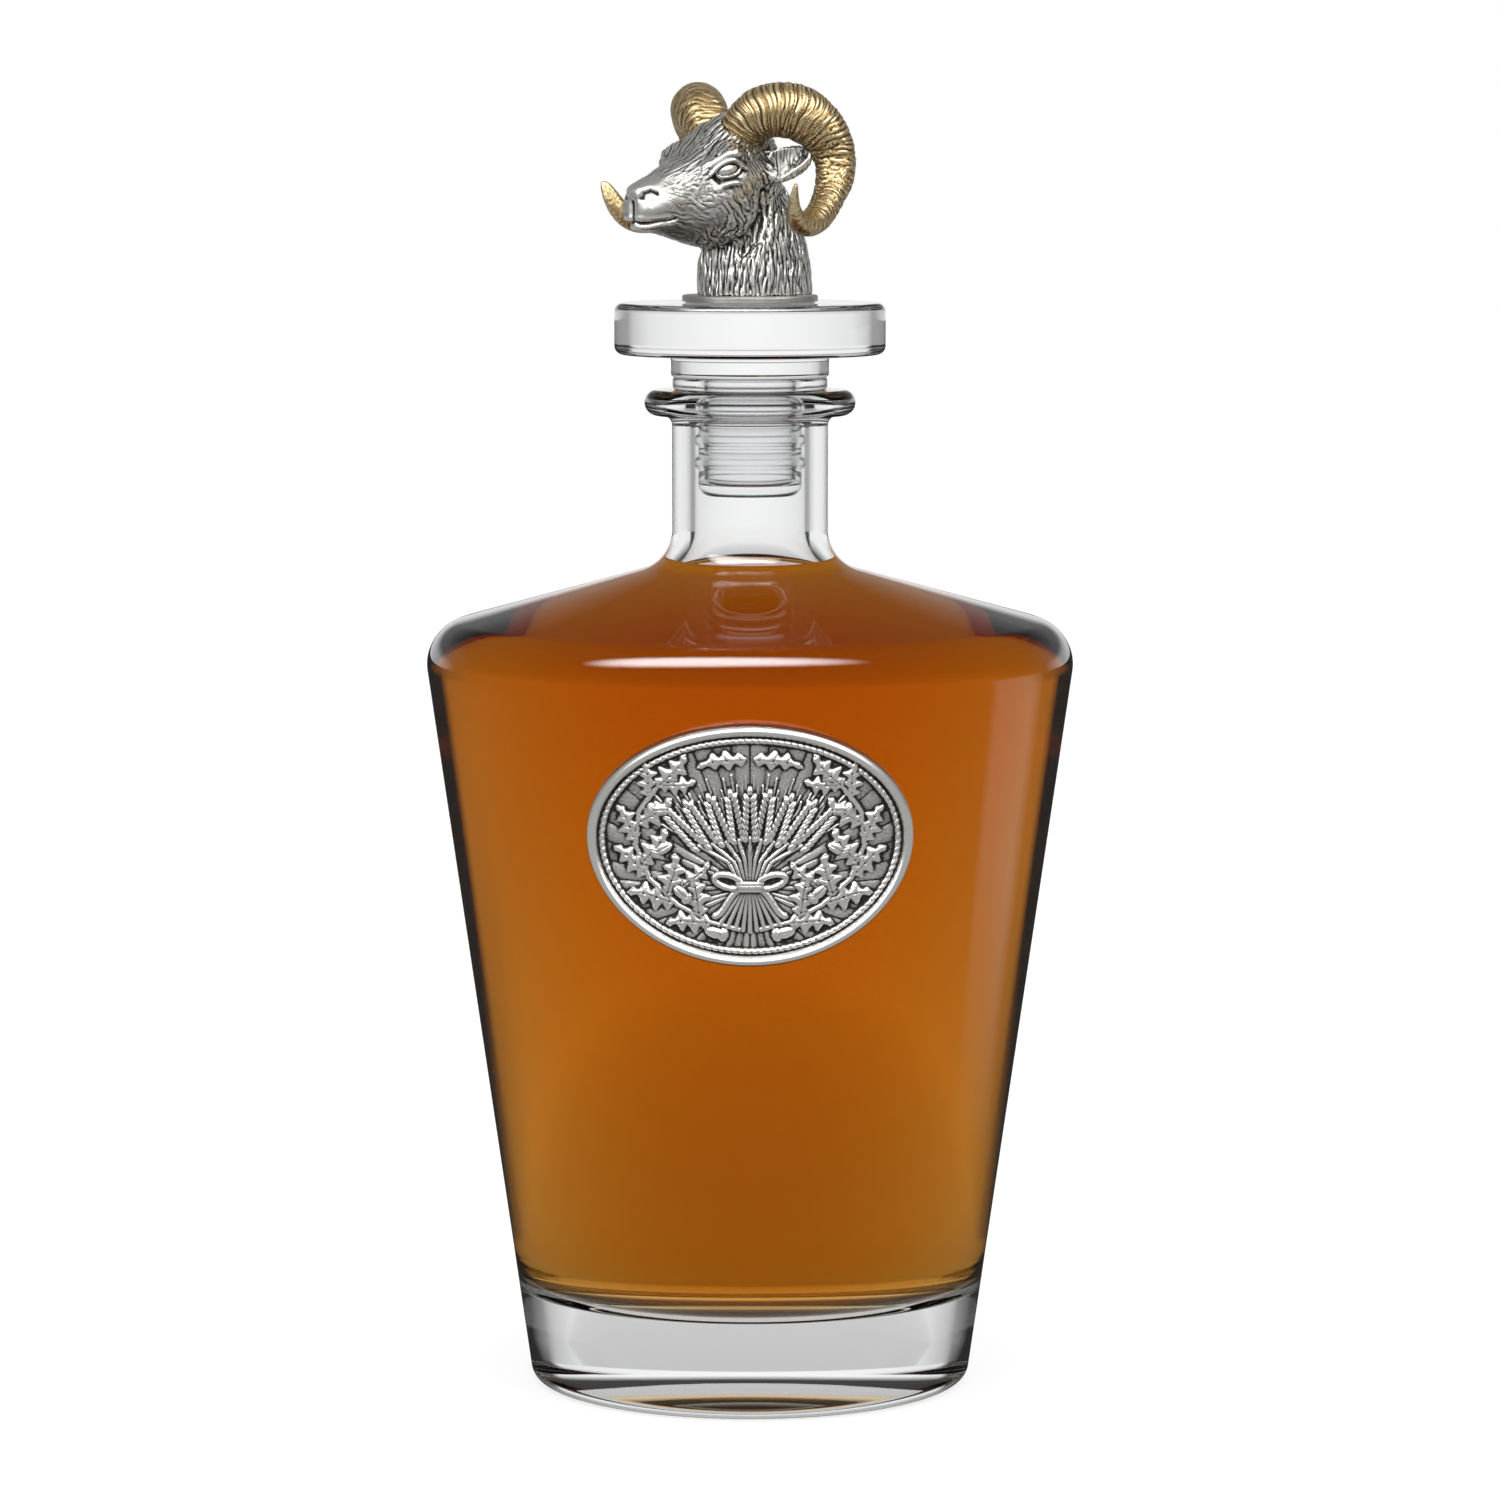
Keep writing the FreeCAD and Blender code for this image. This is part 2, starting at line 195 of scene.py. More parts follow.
clear_glass = moulded_material("clear_glass", GLASS_WAVES, GLASS_WAVE_HEIGHT, **GLASS_LOOK)
lip_bottom = BOTTLE_HEIGHT - LIP_THICKNESS
push_up = []
for number in range(PUSH_UP_STEPS + 1):
    share = number / PUSH_UP_STEPS
    push_up.append((REST_RING_RADIUS * share, PUSH_UP * (1 - share ** 2), 0))
bottle = finished("bottle_clear_glass", turned(push_up + [
    (BASE_RADIUS, 0, HEEL_FILLET),
    (SHOULDER_RADIUS, SHOULDER_HEIGHT, SHOULDER_FILLET),
    (NECK_RADIUS, NECK_ROOT_HEIGHT, NECK_ROOT_FILLET),
    (NECK_RADIUS, lip_bottom, LIP_ROOT_FILLET),
    (LIP_RADIUS, lip_bottom, LIP_FILLET),
    (LIP_RADIUS, BOTTLE_HEIGHT, LIP_FILLET),
    (BORE_RADIUS, BOTTLE_HEIGHT, MOUTH_FILLET),
] + inside_outline(WALL)), clear_glass)
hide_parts("bottle")
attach(bottle, "bottle")

# Liquor
# Amber spirit that fills the bottle to the root of the neck and climbs a little up the glass at its edge.
# Its skin lies a fifth of a millimetre inside the glass, so that no air shows between them, and where the two
# touch neither reflects.
LIQUOR_OVERLAP = 0.2
LIQUOR_LEVEL = 154.6
EDGE_RINGS = ((0.45, 0.97), (0.3, 0.95), (0.15, 0.9), (0.06, 0.8), (0.0, 0.6))
LEAST_INWARD = 0.05
LEAST_UPWARD = 0.3
NO_REFLECTION = (0, 0, 0, 1)
amber, nodes, links, _ = new_material(
    "amber_liquor", Base_Color=(1, 1, 1, 1), Roughness=0.0, IOR=1.36, Transmission_Weight=1.0,
    Specular_Tint=NO_REFLECTION)
tint = placed(nodes, "ShaderNodeVolumeAbsorption", Color=(0.88, 0.63, 0.01, 1), Density=62)
links.new(tint.outputs["Volume"], nodes["Material Output"].inputs["Volume"])
fill = turned([(BORE_RADIUS + LIQUOR_OVERLAP, BOTTLE_HEIGHT, 0)] + inside_outline(WALL - LIQUOR_OVERLAP))
cut = bmesh.ops.bisect_plane(fill, geom=fill.verts[:] + fill.edges[:] + fill.faces[:], dist=1e-7,
                             plane_co=(0, 0, LIQUOR_LEVEL * MM), plane_no=(0, 0, 1), clear_outer=True)
rim = [edge for edge in cut["geom_cut"] if isinstance(edge, bmesh.types.BMEdge)]
for drop, shrink in EDGE_RINGS:
    ring = bmesh.ops.extrude_edge_only(fill, edges=rim)["geom"]
    corners = [item for item in ring if isinstance(item, bmesh.types.BMVert)]
    rim = [item for item in ring if isinstance(item, bmesh.types.BMEdge)]
    bmesh.ops.scale(fill, vec=(shrink, shrink, 1), verts=corners)
    bmesh.ops.translate(fill, vec=(0, 0, -drop * MM), verts=corners)
bmesh.ops.contextual_create(fill, geom=rim)
bmesh.ops.recalc_face_normals(fill, faces=fill.faces[:])
liquor = finished("liquor_fill", fill, amber)
wetted_glass = moulded_material("clear_glass_wetted", GLASS_WAVES, GLASS_WAVE_HEIGHT,
                                Specular_Tint=NO_REFLECTION, **GLASS_LOOK)
bottle.data.materials.append(wetted_glass)
for polygon in bottle.data.polygons:
    middle = polygon.center.to_2d()
    inward = -polygon.normal.to_2d().dot(middle) / max(middle.length, MM)
    cavity_floor = polygon.normal.z > LEAST_UPWARD and polygon.center.z < 2 * FLOOR_HEIGHT * MM
    if polygon.center.z < LIQUOR_LEVEL * MM and (inward > LEAST_INWARD or cavity_floor):
        polygon.material_index = 1
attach(liquor, "bottle")

# Stopper sleeve
# Clear moulded plastic cup on the stopper's stem, with a flange on the bottle's lip and two soft fins that
# seal in the neck.
STOPPER_GAP = 0.03
FLANGE_TOP = BOTTLE_HEIGHT + 2.4
FLANGE_RADIUS = 14.5
FLANGE_FILLET = 0.6
FLANGE_ROOT_FILLET = 0.25
SLEEVE_BOTTOM = BOTTLE_HEIGHT - 19.8
SLEEVE_RADIUS = 9.7
SLEEVE_END_FILLET = 2.2
SLEEVE_FLOOR = 2.0
SLEEVE_HOLE_RADIUS = 8.1
HOLE_MOUTH_FILLET = 0.2
HOLE_END_FILLET = 1.5
FIN_RADIUS = 10.3
FIN_BOTTOMS = (173.1, 177.4)
FIN_THICKNESS = 2.4
FIN_EDGE = 0.45
SLEEVE_STEPS = 128
soft_plastic = moulded_material(
    "clear_soft_plastic", scale=240, height=0.12, Base_Color=(0.985, 0.985, 0.99, 1), Roughness=0.12,
    IOR=1.28, Transmission_Weight=1.0)
sleeve_outline = [(0, SLEEVE_BOTTOM, 0), (SLEEVE_RADIUS, SLEEVE_BOTTOM, SLEEVE_END_FILLET)]
for fin_bottom in FIN_BOTTOMS:
    sleeve_outline += [
        (SLEEVE_RADIUS, fin_bottom, 0),
        (FIN_RADIUS, fin_bottom + FIN_EDGE, FIN_EDGE),
        (FIN_RADIUS, fin_bottom + FIN_THICKNESS - FIN_EDGE, FIN_EDGE),
        (SLEEVE_RADIUS, fin_bottom + FIN_THICKNESS, 0),
    ]
sleeve_outline += [
    (SLEEVE_RADIUS, BOTTLE_HEIGHT + STOPPER_GAP, FLANGE_ROOT_FILLET),
    (FLANGE_RADIUS, BOTTLE_HEIGHT + STOPPER_GAP, FLANGE_FILLET),
    (FLANGE_RADIUS, FLANGE_TOP - STOPPER_GAP, FLANGE_FILLET),
    (SLEEVE_HOLE_RADIUS, FLANGE_TOP - STOPPER_GAP, HOLE_MOUTH_FILLET),
    (SLEEVE_HOLE_RADIUS, SLEEVE_BOTTOM + SLEEVE_FLOOR, HOLE_END_FILLET),
    (0, SLEEVE_BOTTOM + SLEEVE_FLOOR, 0),
]
sleeve = finished("stopper_clear_sleeve", turned(sleeve_outline, SLEEVE_STEPS), soft_plastic)
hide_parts("stopper_sleeve")
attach(sleeve, "sleeve")

# Stopper glass
# Solid clear glass: a thick polished disc with a boss under it and a stem that is pushed into the sleeve.
# The disc is ground flat on top, where the finial is glued.
STEM_RADIUS = 8.05
STEM_BOTTOM = SLEEVE_BOTTOM + 2.3
STEM_END_FILLET = 1.5
STEM_ROOT_FILLET = 0.2
BOSS_RADIUS = 14.8
BOSS_FILLET = 0.6
BOSS_ROOT_FILLET = 1.2
DISC_RADIUS = 25.4
DISC_FILLET = 1.6
DISC_BOTTOM = FLANGE_TOP + 4.2
DISC_TOP = DISC_BOTTOM + 9.6
stopper = finished("stopper_clear_glass", turned([
    (0, STEM_BOTTOM, 0),
    (STEM_RADIUS, STEM_BOTTOM, STEM_END_FILLET),
    (STEM_RADIUS, FLANGE_TOP, STEM_ROOT_FILLET),
    (BOSS_RADIUS, FLANGE_TOP, BOSS_FILLET),
    (BOSS_RADIUS, DISC_BOTTOM, BOSS_ROOT_FILLET),
    (DISC_RADIUS, DISC_BOTTOM, DISC_FILLET),
    (DISC_RADIUS, DISC_TOP, DISC_FILLET),
    (0, DISC_TOP, 0),
]), clear_glass)
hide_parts("stopper_glass")
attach(stopper, "stopper")

# Adhesive
# Thin clear layers that hold the medallion on the bottle and the finial on the stopper.
# They are cured in place and hardly show, so the CAD shapes stay and only get their finish.
clear_adhesive = moulded_material("clear_adhesive", scale=420, height=0.2, Base_Color=(0.8, 0.8, 0.79, 1),
                                  Roughness=0.35, IOR=1.48)


def refinish(mesh, material):
    """Gives a mesh one material in place of what it had."""
    mesh.materials.clear()
    mesh.materials.append(material)


for node in ("medallion_pad", "finial_bond"):
    refinish(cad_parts[node].data, clear_adhesive)

# Ram's head
# Head and neck cast in pewter in one piece, with the coat cut as grooves and darkened in its hollows.
# It is soldered on a round pewter plate, which is glued to the stopper's disc.
FINIAL_TOP = DISC_TOP + 1.5
HEAD_TURN = math.radians(225)
HEAD_VOXEL = 0.25
BOTH_SIDES = ((1, 1, 1), (1, -1, 1))
HEAD_FRAME = Matrix.Translation((0, 0, FINIAL_TOP * MM)) @ Matrix.Rotation(HEAD_TURN, 4, "Z") \
    @ Matrix.Scale(MM, 4)


def recast(node, voxel):
    """Even fine mesh over a CAD solid in the head's own frame: forward, left and up in millimetres."""
    loose = bmesh.new()
    loose.from_mesh(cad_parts[node].data)
    bmesh.ops.remove_doubles(loose, verts=loose.verts[:], dist=0.001 * MM)
    rough = bpy.data.meshes.new(node + "_rough")
    loose.to_mesh(rough)
    loose.free()
    rough.transform(HEAD_FRAME.inverted())
    blank = bpy.data.objects.new(node + "_rough", rough)
    bpy.context.scene.collection.objects.link(blank)
    even = blank.modifiers.new("even", "REMESH")
    even.mode = "VOXEL"
    even.voxel_size = voxel
    fine = bpy.data.meshes.new_from_object(blank.evaluated_get(bpy.context.evaluated_depsgraph_get()))
    bpy.data.objects.remove(blank)
    bpy.data.meshes.remove(rough)
    return fine


def read_points(mesh):
    """Places of a mesh's points, one row each."""
    points = np.empty(len(mesh.vertices) * 3)
    mesh.vertices.foreach_get("co", points)
    return points.reshape(-1, 3)


def read_normals(mesh, points):
    """Moves a mesh's points and gives its normals there."""
    mesh.vertices.foreach_set("co", points.ravel())
    mesh.update()
    normals = np.empty(len(mesh.vertices) * 3)
    mesh.vertex_normals.foreach_get("vector", normals)
    return normals.reshape(-1, 3)


def neighbour_average(mesh):
    """Function that gives each point's values averaged over the points joined to it."""
    pairs = np.empty(len(mesh.edges) * 2, dtype=np.int64)
    mesh.edges.foreach_get("vertices", pairs)
    first, second = pairs.reshape(-1, 2).T
    count = np.bincount(pairs, minlength=len(mesh.vertices))

    def average(values):
        total = np.zeros_like(values)
        np.add.at(total, first, values[second])
        np.add.at(total, second, values[first])
        return total / (count[:, None] if values.ndim == 2 else count)
    return average


def soften(points, average, rounds, weight=1.0):
    """Draws the points towards their neighbours, so many times, where they have weight."""
    for _ in range(rounds):
        points += 0.6 * weight * (average(points) - points)


def step(low, high, values):
    """Smooth step from 0 at low to 1 at high."""
    share = np.clip((values - low) / (high - low), 0, 1)
    return share * share * (3 - 2 * share)


def ridge(values, centre, width, power=2):
    """Rounded ridge, 1 high where the values are at a centre; a higher power makes it flatter and steeper."""
    return np.exp(-((values - centre) / width) ** power)


def press(points, centre, reach, push):
    """Moves the points round a centre, fading out over the reach, alike on both sides of the head."""
    for side in BOTH_SIDES:
        offset = (points - np.multiply(centre, side)) / reach
        points += np.exp(-(offset ** 2).sum(1))[:, None] * np.multiply(push, side)


def line_distance(points, line):
    """Distance of the points, folded to the left side, from a line of places; sideways counts for less."""
    sideways = (1, 0.4, 1)
    folded = points * sideways
    folded[:, 1] = np.abs(folded[:, 1])
    nearest = np.full(len(points), 1e9)
    for start, end in zip(np.multiply(line[:-1], sideways), np.multiply(line[1:], sideways)):
        run = end - start
        share = np.clip((folded - start) @ run / (run @ run), 0, 1)
        nearest = np.minimum(nearest, np.linalg.norm(folded - start - share[:, None] * run, axis=1))
    return nearest


def score(points, normals, line, width, depth):
    """Cuts a groove along a line on both sides, or raises a fold where the depth is negative."""
    points -= normals * (depth * ridge(line_distance(points, line), 0, width))[:, None]


def streaks(points, along, across, length, width, seed):
    """Wavy streaks from 0 in the grooves to 1 on the crests, long in one direction."""
    along = np.array(along) / np.linalg.norm(along)
    across = np.cross(along, across)
    across /= np.linalg.norm(across)
    third = np.cross(along, across)
    axes = np.stack([along / length, across / width, third / width])
    values = np.empty(len(points))
    for index, place in enumerate(points @ axes.T):
        bend = noise.noise((place[0] * 2.2 + seed, place[1] * 0.3, place[2] * 0.3))
        broad = noise.noise((place[0] + seed, place[1] + 0.9 * bend, place[2] + 0.6 * bend))
        fine = noise.noise((place[0] * 1.4 - seed, place[1] * 2.1 + bend, place[2] * 2.1))
        values[index] = min(1.0, 2.4 * abs(broad)) * 0.7 + min(1.0, 2.6 * abs(fine)) * 0.3
    return values


def store(mesh, name, values):
    """Keeps one number per point in the mesh for its material to read."""
    mesh.attributes.new(name, "FLOAT", "POINT").data.foreach_set("value", values.astype(np.float32))


def hollows(mesh, points, normals, rounds):
    """How far each point lies below its surroundings, in millimetres."""
    average = neighbour_average(mesh)
    mean = points
    for _ in range(rounds):
        mean = average(mean)
    return ((mean - points) * normals).sum(1)


head = recast("ram_head", HEAD_VOXEL)
average = neighbour_average(head)
points = read_points(head)
soften(points, average, rounds=6)
EYE = np.array((13.9, 8.4, 23.5))
EYE_SCALE = 1.25
SOCKET_REACH = 4.6
for side in BOTH_SIDES:
    socket = ridge(np.linalg.norm(points * side - EYE, axis=1), 0, SOCKET_REACH, 4)
    soften(points, average, rounds=44, weight=socket[:, None])

# cheeks, temples, nose and lips: place, reach and push of each swelling or hollow
FACE_FORMS = [
    ((10.0, 6.6, 14.0), (4.6, 3.0, 4.2), (0, 0.9, -0.2)),
    ((28.8, 2.6, 16.2), (2.4, 2.2, 2.2), (0.35, 0.55, 0)),
    ((29.2, 1.5, 19.6), (2.0, 2.0, 1.5), (0.4, 0.25, 0.1)),
    ((28.0, 1.8, 12.6), (2.6, 2.2, 1.2), (0.35, 0.1, -0.1)),
    ((24.0, 4.0, 20.4), (2.6, 2.0, 2.0), (0, -0.45, 0)),
    ((18.5, 5.6, 19.0), (4.0, 2.0, 3.0), (0, -0.7, 0)),
    ((19.0, 0.0, 26.6), (4.0, 3.0, 2.0), (0, 0, -0.3)),
]
for centre, reach, push in FACE_FORMS:
    press(points, centre, reach, push)

# jaw, mouth, both lips and nostril: line, width and depth of each groove or fold
FACE_LINES = [
    ([(7.4, 6.0, 8.6), (5.6, 7.4, 11.0), (4.4, 8.2, 15.0), (4.6, 8.6, 19.0)], 1.35, 1.35),
    ([(31.0, 0.0, 13.6), (28.6, 3.2, 13.6), (26.5, 4.4, 13.8), (24.6, 4.8, 14.0), (23.8, 4.9, 14.4)],
     0.34, 1.0),
    ([(30.6, 1.0, 12.6), (27.4, 4.0, 12.6), (24.8, 4.6, 13.1)], 0.6, -0.3),
    ([(30.8, 1.0, 14.6), (28.2, 4.0, 14.7), (25.6, 4.9, 15.0)], 0.5, -0.25),
    ([(29.9, 1.5, 18.3), (29.7, 1.9, 19.2), (28.7, 2.6, 19.7), (27.8, 3.3, 19.2)], 0.36, 0.95),
]
CLEFT_WIDTH = 0.35
CLEFT_DEPTH = 0.6
normals = read_normals(head, points)
for line, width, depth in FACE_LINES:
    score(points, normals, line, width, depth)
forward, left, up = points.T
cleft = ridge(left, 0, CLEFT_WIDTH) * step(13.6, 14.2, up) * (1 - step(17.2, 18.2, up))
points -= normals * (CLEFT_DEPTH * cleft * step(28.0, 29.0, forward))[:, None]

# eye, lids and brow, drawn in a flat frame on the side of the face
EYE_SINK = 0.6
EYEBALL_RISE = 0.95
UPPER_LID_RISE = 1.0
LOWER_LID_RISE = 0.65
BROW_RISE = 1.2
BAG_RISE = 0.5
BAG_CREASE = 0.2
CORNER_DEPTH = 0.8
eye_out = np.array((0.42, 0.9, 0.12))
eye_out /= np.linalg.norm(eye_out)
eye_along = np.array((-1.0, 0.42, 0.08))
eye_along -= eye_out * (eye_along @ eye_out)
eye_along /= np.linalg.norm(eye_along)
eye_up = np.cross(eye_out, eye_along)
eye_up *= np.sign(eye_up[2])
for side in BOTH_SIDES:
    offset = (points * side - EYE) / EYE_SCALE
    along = offset @ eye_along
    up = offset @ eye_up + 0.06 * along ** 2 - 0.12 * along
    near = ridge(np.linalg.norm(offset, axis=1), 0, 5.6, 6) * (normals * side @ eye_out > 0.1)
    ring = np.sqrt((along / 1.3) ** 2 + (up / np.where(up > 0, 0.6, 0.75)) ** 2)
    upper = step(-0.3, 0.3, up)
    lift = -EYE_SINK * ridge(ring, 0, 1.9, 4)
    lift += EYEBALL_RISE * np.sqrt(np.clip(1 - (ring / 1.18) ** 2, 0, 1))
    lift += UPPER_LID_RISE * upper * ridge(ring, 1.8, 0.62)
    lift += LOWER_LID_RISE * (1 - upper) * ridge(ring, 1.38, 0.24)
    lift += BROW_RISE * ridge(up - 0.1 * along, 2.2, 1.0) * ridge(along, -0.3, 3.4, 4)
    lift += BAG_RISE * ridge(up, -2.1, 0.36) * ridge(along, 0.3, 1.7, 4)
    lift -= BAG_CREASE * ridge(up, -1.55, 0.24) * ridge(along, 0.2, 1.8, 4)
    lift -= CORNER_DEPTH * ridge(along + 0.35 * up, -2.1, 0.42) * ridge(up, -0.7, 1.0)
    points += (near * lift)[:, None] * (eye_out * side)

# hollow of the ears, open towards the front
EAR_ROOT = np.array((3.6, 7.6, 23.2))
EAR_TIP = np.array((-1.1, 15.2, 27.9))
EAR_HALF_WIDTH = 3.0
EAR_TIP_WIDTH = 0.6
EAR_HOLLOW = 1.35
ear_along = EAR_TIP - EAR_ROOT
ear_length = np.linalg.norm(ear_along)
ear_along /= ear_length
ear_out = np.cross(ear_along, (0, 0, 1))
ear_out /= np.linalg.norm(ear_out)
ear_up = np.cross(ear_out, ear_along)
for side in BOTH_SIDES:
    offset = points * side - EAR_ROOT
    share = offset @ ear_along / ear_length
    taper = np.sqrt(np.clip(1 - np.clip(share, 0, 1) ** 2, 0, 1))
    wide = offset @ ear_up / (EAR_TIP_WIDTH + EAR_HALF_WIDTH * taper)
    open_face = step(0.0, 0.5, normals * side @ ear_out)
    inside = step(0.02, 0.25, share) * (1 - step(0.75, 0.98, share)) * np.clip(1 - (wide / 0.8) ** 2, 0, 1)
    points -= (EAR_HOLLOW * inside * open_face)[:, None] * (ear_out * side)

# coat: each patch of the head has its own place, reach, lie, length and width of strands, and depth
COAT = [
    ((-1.0, 6.0, 6.0), (20.0, 20.0, 10.0), (0.0, 0.05, 1.0), 9.0, 0.85, 0.55),
    ((9.0, 7.0, 13.0), (5.0, 5.0, 5.0), (-0.5, 0.1, -0.85), 6.0, 1.3, 0.42),
    ((5.0, 8.0, 22.0), (3.5, 5.0, 5.0), (-0.6, 0.1, -0.8), 5.0, 0.7, 0.35),
    ((11.0, 4.0, 29.0), (5.0, 6.0, 4.0), (-0.75, 0.15, 0.6), 8.0, 0.75, 0.42),
    ((20.0, 2.0, 24.0), (6.0, 5.0, 3.5), (-1.0, 0.1, 0.4), 7.0, 0.6, 0.26),
    ((21.0, 5.0, 17.0), (6.0, 5.0, 4.0), (-1.0, 0.1, -0.25), 5.0, 0.75, 0.17),
]
JAW_HEIGHTS = (8.6, 11.0, 15.0, 19.0, 23.0)
JAW_FORWARD = (7.4, 5.6, 4.4, 4.6, 3.0)
EYE_BARE = (3.4, 4.2, 2.8)
EYE_LIGHTER = 0.22
LEAST_WEIGHT = 0.003
folded = points.copy()
folded[:, 1] = np.abs(folded[:, 1])
normals = read_normals(head, points)
total = np.full(len(points), 1e-6)
coat = np.zeros(len(points))
forward, left, up = points.T
jaw = np.interp(up, JAW_HEIGHTS, JAW_FORWARD)
face = step(-0.5, 0.5, forward - jaw) * step(8.6, 9.6, up)
for patch, (centre, reach, lie, length, width, depth) in enumerate(COAT):
    weight = np.exp(-(((folded - centre) / reach) ** 2).sum(1)) * (face if patch else 1 - face)
    for side in (1, -1):
        here = (np.sign(left) != -side) & (weight > LEAST_WEIGHT)
        lie_here = np.multiply(lie, (1, side, 1))
        strands = streaks(points[here], lie_here, (0.3, side, 0.2), length, width, 17.0 * patch)
        coat[here] += weight[here] * depth * (strands - 0.6)
    total += weight
eye_distance = np.linalg.norm((folded - EYE) / EYE_BARE, axis=1)
covered = 1 - 0.9 * step(24.0, 27.5, forward)
covered *= 1 - 0.7 * step(8.6, 9.8, folded[:, 1]) * step(19.0, 21.0, up)
points += normals * (coat / total * covered * step(0.8, 1.2, eye_distance))[:, None]
normals = read_normals(head, points)
recess = hollows(head, points, normals, rounds=3) * 9
recess += hollows(head, points, normals, rounds=24) * 0.5
around_eye = 1 - step(0.6, 1.0, eye_distance)
store(head, "recess", np.clip(recess - EYE_LIGHTER * around_eye, -1, 1))
head.transform(HEAD_FRAME)


def reckoned(nodes, links, operation, *terms, clamp=False):
    """Result of a Math node whose terms are plain numbers or the outputs of other nodes."""
    node = nodes.new("ShaderNodeMath")
    node.operation = operation
    node.use_clamp = clamp
    for socket, term in zip(node.inputs, terms):
        if isinstance(term, float):
            socket.default_value = term
        else:
            links.new(term, socket)
    return node.outputs[0]


def share_between(nodes, links, value, low, high, kind="LINEAR"):
    """Share of the way from low to high, held between 0 and 1."""
    span = placed(nodes, "ShaderNodeMapRange", From_Min=low, From_Max=high)
    span.interpolation_type = kind
    links.new(value, span.inputs["Value"])
    return span.outputs["Result"]


antiquing, given, result = new_group("antiqued_casting", ("Staining", "Polish"), {
    "Patina": "NodeSocketFloat", "Roughness": "NodeSocketFloat", "Normal": "NodeSocketVector"})
nodes = antiquing.nodes
links = antiquing.links
depth = nodes.new("ShaderNodeAttribute")
depth.attribute_name = "recess"
place = nodes.new("ShaderNodeTexCoord")
stain = placed(nodes, "ShaderNodeTexNoise", Scale=420, Detail=3)
grain = placed(nodes, "ShaderNodeTexNoise", Scale=3200, Detail=2)
for texture in (stain, grain):
    links.new(place.outputs["Object"], texture.inputs["Vector"])
centred = reckoned(nodes, links, "SUBTRACT", stain.outputs["Fac"], 0.5)
darkened = reckoned(nodes, links, "MULTIPLY_ADD", centred, given.outputs["Staining"], depth.outputs["Fac"])
patina = share_between(nodes, links, darkened, -0.42, 0.42)
dull = placed(nodes, "ShaderNodeMapRange", To_Max=0.55)
pitted = placed(nodes, "ShaderNodeBump", Strength=0.25, Distance=0.05 * MM)
links.new(given.outputs["Polish"], dull.inputs["To Min"])
links.new(patina, dull.inputs["Value"])
links.new(grain.outputs["Fac"], pitted.inputs["Height"])
links.new(patina, result.inputs["Patina"])
links.new(dull.outputs["Result"], result.inputs["Roughness"])
links.new(pitted.outputs["Normal"], result.inputs["Normal"])


def antiqued(name, staining, polish, rubbed, plain, dark):
    """Cast metal that is rubbed bright on its crests and left dark in its hollows."""
    material, nodes, links, shader = new_material(name, Metallic=1.0)
    casting = nodes.new("ShaderNodeGroup")
    casting.node_tree = antiquing
    with_values(casting, {"Staining": staining, "Polish": polish})
    tones = nodes.new("ShaderNodeValToRGB")
    tones.color_ramp.elements[0].color = rubbed
    tones.color_ramp.elements[1].color = dark
    tones.color_ramp.elements.new(0.42).color = plain
    links.new(casting.outputs["Patina"], tones.inputs["Fac"])
    links.new(tones.outputs["Color"], shader.inputs["Base Color"])
    links.new(casting.outputs["Roughness"], shader.inputs["Roughness"])
    links.new(casting.outputs["Normal"], shader.inputs["Normal"])
    return material


def cast(name, mesh, material):
    """Turns a mesh into a smooth shaded casting."""
    for polygon in mesh.polygons:
        polygon.use_smooth = True
    refinish(mesh, material)
    piece = bpy.data.objects.new(name, mesh)
    bpy.context.scene.collection.objects.link(piece)
    return piece


pewter = antiqued("antiqued_pewter", staining=0.34, polish=0.25, rubbed=(0.86, 0.85, 0.82, 1),
                  plain=(0.52, 0.51, 0.485, 1), dark=(0.04, 0.039, 0.037, 1))
ram_head = cast("ram_head_casting", head, pewter)
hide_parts("ram_head")
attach(ram_head, "stopper")
refinish(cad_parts["finial_base"].data, pewter)

# Horns
# Cast in the same metal, gold plated and darkened between the growth rings, and set in sockets of the skull.
# Each starts thick over the brow, curls back and down past the ear and ends in a smooth tip beside the jaw.
HORN_PATH = [
    (6.4, 3.0, 28.5), (6.0, 4.6, 31.0), (5.3, 6.9, 33.3), (3.0, 10.6, 34.4),
    (-0.2, 13.8, 33.4), (-2.9, 15.9, 30.5), (-4.8, 17.3, 25.8), (-2.5, 18.8, 19.6),
    (3.0, 20.7, 14.8), (8.6, 22.0, 13.6), (12.0, 23.4, 16.3), (13.8, 25.6, 21.0),
]
HORN_VOXEL = 0.27
RING_DEPTH = 0.3
BROAD_RING = 0.85
FINE_RING = 0.42
NEAREST_BLOCKS = 40


def horn_line(side):
    """Points along the middle of a horn on one smooth curve."""
    curve = bpy.data.curves.new("horn_line", "CURVE")
    curve.dimensions = "3D"
    spline = curve.splines.new("NURBS")
    spline.points.add(len(HORN_PATH) - 1)
    for point, (forward, left, up) in zip(spline.points, HORN_PATH):
        point.co = (forward, side * left, up, 1)
    spline.order_u = 3
    spline.use_endpoint_u = True
    spline.resolution_u = 40
    guide = bpy.data.objects.new("horn_line", curve)
    line = bpy.data.meshes.new_from_object(guide)
    places = read_points(line)
    bpy.data.objects.remove(guide)
    bpy.data.curves.remove(curve)
    bpy.data.meshes.remove(line)
    return places


